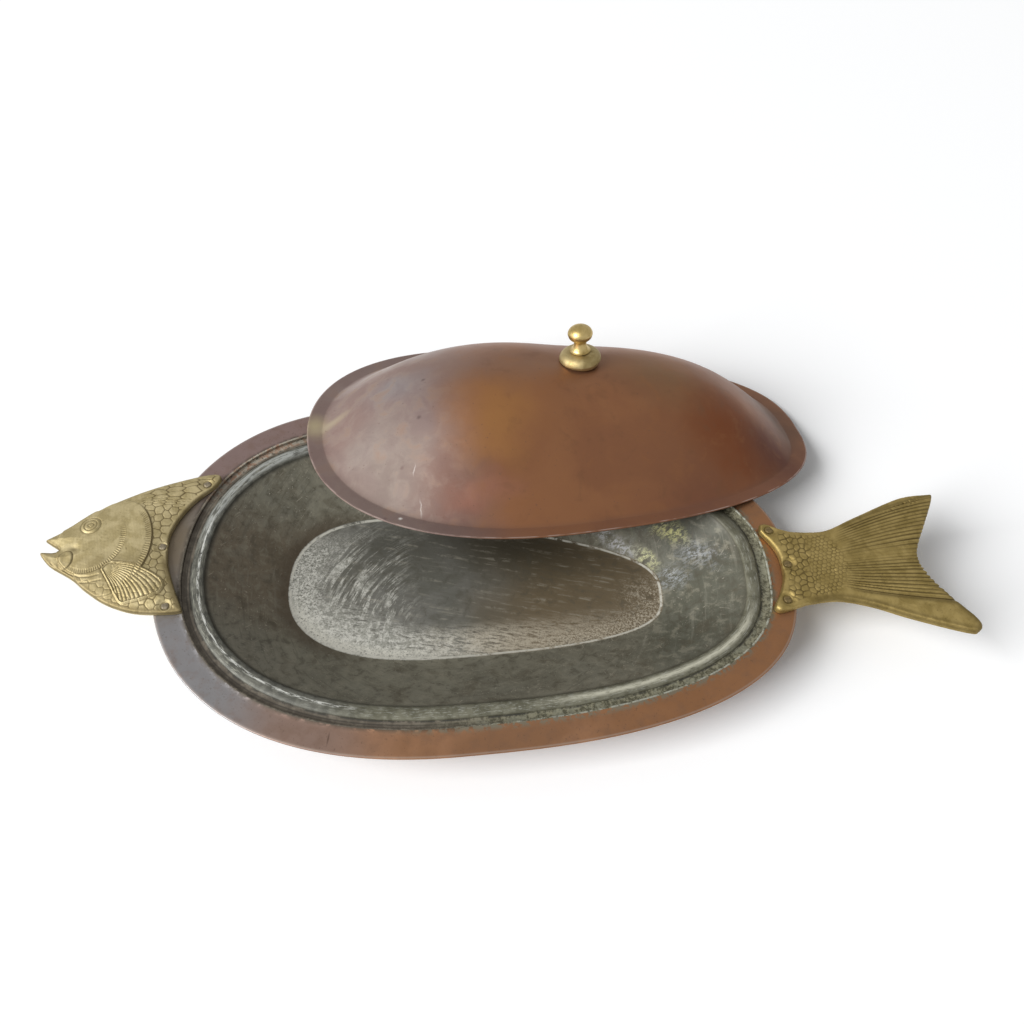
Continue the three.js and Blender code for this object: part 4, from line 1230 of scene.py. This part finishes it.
def floor_looks(f, at):
    pinkish = (0.45, 0.395, 0.3)
    pale = f.mix(f.between(f.noise(3, 4, 0.7), 0.4, 0.6), (0.33, 0.325, 0.28), (0.62, 0.605, 0.54))
    grit = f.noise(1.4, 5, 0.85)
    along_x = f.drifting(at.x, 40, 0.05)
    far, way = f.round_about(-5, -38, 85)
    brush = f.pattern(f.vector(f.times(far, 400), f.times(way, 38)), 4, 0.7)
    dense = f.pattern(f.vector(f.times(far, 90), f.times(way, 34)), 2, 0.5)
    wiped = f.times((brush, 0.475, 0.55), (dense, 0.34, 0.56), (grit, 0.36, 0.5), (at.y, 0.062, 0.018), 0.85)
    border = f.times((at.zone, 0.7, 0.86), (at.y, 0.05, 0.02), (grit, 0.44, 0.52))
    tone = f.over(floor_tone(f, at, along_x), pale, (along_x, -0.03, -0.07), f.most(wiped, border))

    front = f.times((at.zone, 0.45, 0.75), (at.y, -0.006, -0.028), (along_x, 0.14, 0.0))
    lines = f.pattern(f.stretched(110, 480, 5), 5, 0.78)
    worn = f.times(front, (lines, 0.38, 0.54), (grit, 0.32, 0.5))
    tone = f.over(tone, f.mix(f.between(along_x, -0.06, 0.04), pale, pinkish), worn)
    tip = f.times(f.spot((118, -4), (28, 26)), (at.blots, 0.36, 0.56))
    low_edge = f.times((at.zone, 0.7, 0.9), (at.y, 0.0, -0.02), (at.x, 0.02, 0.06))
    tone = f.over(tone, pinkish, f.most(tip, low_edge), (grit, 0.48, 0.56))

    edge = f.times((at.zone, 0.966, 0.992, 0.006), (f.noise(8, 4, 0.7), 0.34, 0.52), 0.9)
    near_left = f.times((at.zone, 0.88, 0.99, 0.05), (at.x, 0.0, -0.05))
    near_left = f.times(near_left, (at.y, 0.0, -0.03), (grit, 0.4, 0.5), 0.85)
    return f.over(tone, (0.6, 0.58, 0.5), f.most(edge, near_left))


def bead_looks(f, at):
    _, way = f.round_about(-3, 0, 150)
    lines = f.pattern(f.vector(f.times(at.zone, 7), f.times(way, 55)), 3, 0.7)
    short = f.pattern(f.vector(f.times(at.zone, 16), f.times(way, 160)), 4, 0.7)
    blotted = f.between(at.blots, 0.36, 0.62)
    slate = f.mix(blotted, (0.07, 0.069, 0.056), (0.135, 0.132, 0.108))
    plain = f.mix(blotted, (0.105, 0.1, 0.066), (0.17, 0.163, 0.115))
    tone = f.mix(f.between(at.x, -0.1, -0.05), slate, plain)
    grit = f.times((short, 0.5, 0.66), (at.zone, 2.2, 2.8, 0.15))
    tone = f.over(tone, (0.42, 0.42, 0.37), grit, (at.x, -0.16, -0.02), 0.6)
    crust = f.times((short, 0.52, 0.6), (at.zone, 2.15, 2.85, 0.15))
    tone = f.over(tone, (0.34, 0.335, 0.27), crust, (at.x, -0.12, -0.16), 0.6)
    behind = f.times((at.y, 0.0, 0.03), (at.x, -0.09, -0.12))
    wide = f.times(behind, (at.zone, 2.3, 2.75, 0.12), (lines, 0.38, 0.54))
    tone = f.over(tone, (0.42, 0.43, 0.4), wide, (short, 0.3, 0.5), 0.85)
    left = f.times((at.x, -0.06, -0.09), (at.y, 0.045, 0.02))
    # painted highlight along the crest of the bead on the left
    left_crest_highlight = f.times(left, (at.zone, 2.41, 2.5, 0.05), (short, 0.46, 0.54))
    tone = f.over(tone, (0.8, 0.8, 0.74), left_crest_highlight, 0.85)
    right = f.times((at.x, 0.03, 0.08), (at.y, -0.02, -0.045))
    crest = f.times(right, (at.zone, 2.38, 2.58, 0.14), (short, 0.3, 0.5))
    tone = f.over(tone, (0.6, 0.58, 0.46), crest, 0.9)
    tone = f.over(tone, (0.062, 0.057, 0.036), (at.x, 0.09, 0.13), (at.y, 0.018, 0.045), 0.7)
    return f.over(tone, (0.065, 0.06, 0.045), (at.zone, 1.93, 2.05, 0.05), 0.65)


SEAT_PALE = [((186, 6), (14, 26), 0, 0.7, (0.22, 0.215, 0.155))]


def seat_looks(f, at):
    crust = f.noise(2.6, 4, 0.75)
    olive = f.mix(f.between(crust, 0.42, 0.58), (0.075, 0.07, 0.042), (0.23, 0.215, 0.145))
    olive = f.veils(
        olive,
        (at.blots, 0.5, 0.6, 0.6, (0.24, 0.235, 0.17)),
        (at.blots, 0.44, 0.32, 0.7, (0.06, 0.055, 0.032)),
    )
    brown = f.mix(f.between(at.blots, 0.42, 0.6), (0.105, 0.087, 0.064), (0.17, 0.145, 0.11))
    rings = f.most(f.band(at.zone, 3.45, 3.6, 0.08), f.band(at.zone, 4.15, 4.5, 0.1))
    brown = f.over(brown, (0.04, 0.035, 0.028), rings, 0.7)
    tone = f.mix(f.between(at.x, -0.05, 0.04), brown, olive)
    tone = f.spots(tone, SEAT_PALE, f.wobbled(9, 3), f.between(crust, 0.4, 0.52))
    crack = f.times((at.zone, 2.9, 3.2, 0.1), (f.noise(9, 4, 0.7), 0.62, 0.44))
    tone = f.over(tone, (0.03, 0.028, 0.022), crack, 0.85)
    rusty = f.mix(f.between(f.noise(4, 4, 0.7), 0.42, 0.56), (0.4, 0.24, 0.16), (0.48, 0.44, 0.36))
    patch = f.times(f.spot((-152, 80), (72, 34), 46, f.wobbled(9, 3)), (at.zone, 3.3, 3.7))
    tone = f.over(tone, rusty, patch, (crust, 0.36, 0.48))
    # a pale broken line along the lip on the right: the tin's raised edge, with a painted highlight on it
    lip = f.times((at.zone, 4.8, 5.0, 0.1), (f.noise(5, 4, 0.7), 0.44, 0.54))
    tone = f.over(tone, (0.5, 0.51, 0.44), lip, (at.x, -0.02, 0.06), 0.9)
    front = f.times((at.zone, 4.5, 5.0, 0.2), (at.x, 0.06, 0.0), (at.y, 0.03, -0.01))
    return f.over(tone, (0.05, 0.045, 0.033), front, (crust, 0.55, 0.42))


def well_looks(f):
    """Colour and roughness of the worn tin in the pan, with its painted shadows, shade and highlights, by its
    zones from the floor to the lip.
    """
    at = SimpleNamespace(
        zone=f.number("zone"), x=f.axis("X"), y=f.axis("Y"), clouds=f.noise(34, 5, 0.6, swirl=0.8),
        blots=f.noise(7, 4, 0.65, swirl=0.4), grain=f.noise(1.5, 3, 0.7),
    )
    colour = f.mix(f.between(at.zone, 0.995, 1.005), floor_looks(f, at), wall_looks(f, at))
    colour = f.mix(f.between(at.zone, 1.93, 2.02), colour, bead_looks(f, at))
    colour = f.mix(f.between(at.zone, 2.93, 3.0), colour, seat_looks(f, at))
    return colour, f.plus(0.44, f.times(at.blots, 0.22))


def lining_looks(f):
    """Colour and roughness of the dull tin inside the lid."""
    clouds = f.noise(35, 5, 0.6, swirl=0.6)
    colour = f.mix(f.between(clouds, 0.35, 0.65), (0.2, 0.19, 0.165), (0.12, 0.11, 0.09))
    return colour, f.plus(0.4, f.times(f.noise(4, 4), 0.25))


def tinned(name, looks):
    f = Finish(name, metallic=0.3)
    return f.finish(*looks(f), f.noise(5, 4, 0.6), 0.15)


# Each brass: light tone, deep tone, dirt and painted shade, and roughness
HEAD_BRASS = ((0.56, 0.475, 0.275), (0.43, 0.355, 0.185), (0.15, 0.11, 0.05), 0.54)
TAIL_BRASS = ((0.41, 0.31, 0.12), (0.31, 0.23, 0.08), (0.08, 0.056, 0.02), 0.5)
KNOB_BRASS = ((0.66, 0.51, 0.23), (0.46, 0.335, 0.125), (0.1, 0.07, 0.02), 0.34)
BASE_BRASS = ((0.47, 0.375, 0.19), (0.33, 0.25, 0.11), (0.1, 0.07, 0.02), 0.46)


def brass(name, tones, dressed=True):
    light, deep, dirt_and_shade, rough = tones
    f = Finish(name, dressed=dressed)
    clouds = f.noise(9, 4, 0.6, swirl=0.5)
    colour = f.mix(f.between(clouds, 0.35, 0.65), light, deep)
    stains = f.times((f.noise(2.2, 5, 0.75), 0.54, 0.68), (clouds, 0.4, 0.6))
    colour = f.over(colour, dirt_and_shade, stains, 0.4)
    colour = f.veils(colour, (f.noise(0.9, 2, 0.6), 0.64, 0.74, 0.5, dirt_and_shade))
    # the dirt tone fills the hollows and lays painted shade along the castings' lower edges
    colour = f.over(colour, dirt_and_shade, f.number("hollow"))
    roughness = f.plus(rough, f.times(f.noise(2, 4, 0.6), 0.16))
    return f.finish(colour, roughness, f.noise(1.1, 4, 0.65), 0.06)


def rivet_metal(name, tone):
    f = Finish(name, metallic=0.7)
    worn = tuple(1.5 * part for part in tone)
    colour = f.mix(f.between(f.noise(1.6, 3), 0.4, 0.6), tone, worn)
    return f.finish(colour, f.plus(0.5, f.times(f.noise(1.2, 3), 0.2)), f.noise(1.3, 3), 0.08)


def dress_fixing():
    """The stud, washer and nut keep their CAD shapes."""
    finish = brass("fixing_brass", BASE_BRASS, dressed=False)
    for name in ("knob_stud", "knob_washer", "knob_nut"):
        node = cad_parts[name]
        node.data.materials.clear()
        node.data.materials.append(finish)


# Camera, light and floor

def place_camera():
    azimuth, elevation, roll = (math.radians(v) for v in (CAMERA_AZIMUTH, CAMERA_ELEVATION, CAMERA_ROLL))
    flat = math.cos(elevation)
    back = Vector((math.sin(azimuth) * flat, -math.cos(azimuth) * flat, math.sin(elevation)))
    right = Vector((math.cos(azimuth), math.sin(azimuth), 0))
    up = back.cross(right)
    rolled_right = math.cos(roll) * right + math.sin(roll) * up
    rolled_up = back.cross(rolled_right)
    data = bpy.data.cameras.new("camera")
    data.sensor_width = SENSOR
    data.lens = FOCAL_PIXELS / PHOTO_SIZE * SENSOR
    data.shift_x = (PHOTO_SIZE / 2 - PHOTO_CENTRE[0]) / PHOTO_SIZE
    data.shift_y = (PHOTO_CENTRE[1] - PHOTO_SIZE / 2) / PHOTO_SIZE
    data.clip_start, data.clip_end = CLIP
    camera = bpy.data.objects.new("camera", data)
    bpy.context.collection.objects.link(camera)
    turn = Matrix((rolled_right, rolled_up, back)).transposed().to_4x4()
    camera.matrix_world = Matrix.Translation((LOOK_AT + back * CAMERA_DISTANCE) * MM) @ turn
    bpy.context.scene.camera = camera


def add_softbox():
    """A wide square light that faces the dish."""
    data = bpy.data.lights.new("key", "AREA")
    data.shape = "RECTANGLE"
    data.size = data.size_y = KEY_SIZE
    data.energy = KEY_POWER
    data.color = KEY_COLOUR
    light = bpy.data.objects.new("key", data)
    bpy.context.collection.objects.link(light)
    light.location = KEY_PLACE
    light.rotation_euler = (LIT_PLACE - KEY_PLACE).to_track_quat("-Z", "Y").to_euler()


def light_the_world():
    """Plain light all round, which gloss sees brighter and the camera as white."""
    world = bpy.context.scene.world or bpy.data.worlds.new("studio")
    bpy.context.scene.world = world
    world.use_nodes = True
    nodes, links = world.node_tree.nodes, world.node_tree.links
    nodes.clear()
    output = nodes.new("ShaderNodeOutputWorld")
    path = nodes.new("ShaderNodeLightPath")
    around = nodes.new("ShaderNodeBackground")
    around.inputs["Strength"].default_value = WORLD_LIGHT
    for ray, strength in WORLD_SEEN.items():
        seen, choice = nodes.new("ShaderNodeBackground"), nodes.new("ShaderNodeMixShader")
        seen.inputs["Color"].default_value = (1, 1, 1, 1)
        seen.inputs["Strength"].default_value = strength
        links.new(path.outputs[ray], choice.inputs[0])
        links.new(around.outputs[0], choice.inputs[1])
        links.new(seen.outputs[0], choice.inputs[2])
        around = choice
    links.new(around.outputs[0], output.inputs[0])


def lay_floor():
    """A white floor that adds a little light of its own where the camera or gloss sees it."""
    mesh = bpy.data.meshes.new("floor")
    reach = GROUND_REACH * MM
    corners = [(-reach, -reach, 0), (reach, -reach, 0), (reach, reach, 0), (-reach, reach, 0)]
    mesh.from_pydata(corners, [], [(0, 1, 2, 3)])
    floor = bpy.data.objects.new("floor", mesh)
    floor.location.z = -GROUND_DROP * MM
    bpy.context.collection.objects.link(floor)
    f = Finish("floor_white", metallic=0.0, dressed=False)
    rays = f.node("LightPath").outputs
    glow = f.times(f.most(rays["Is Camera Ray"], rays["Is Glossy Ray"]), GROUND_GLOW)
    looks = {"Base Color": (GROUND_WHITE,) * 3, "Roughness": 0.9, "Specular IOR Level": 0.1}
    looks |= {"Emission Strength": glow, "Emission Color": (1, 1, 1)}
    for key, value in looks.items():
        f.put(value, f.shader.inputs[key])
    mesh.materials.append(f.material)


place_camera()
add_softbox()
light_the_world()
lay_floor()
make_pan()
make_lid()
make_head()
make_tail()
make_rivets()
make_knob()
dress_fixing()

bpy.context.scene.view_settings.view_transform = "Standard"
bpy.context.view_layer.update()
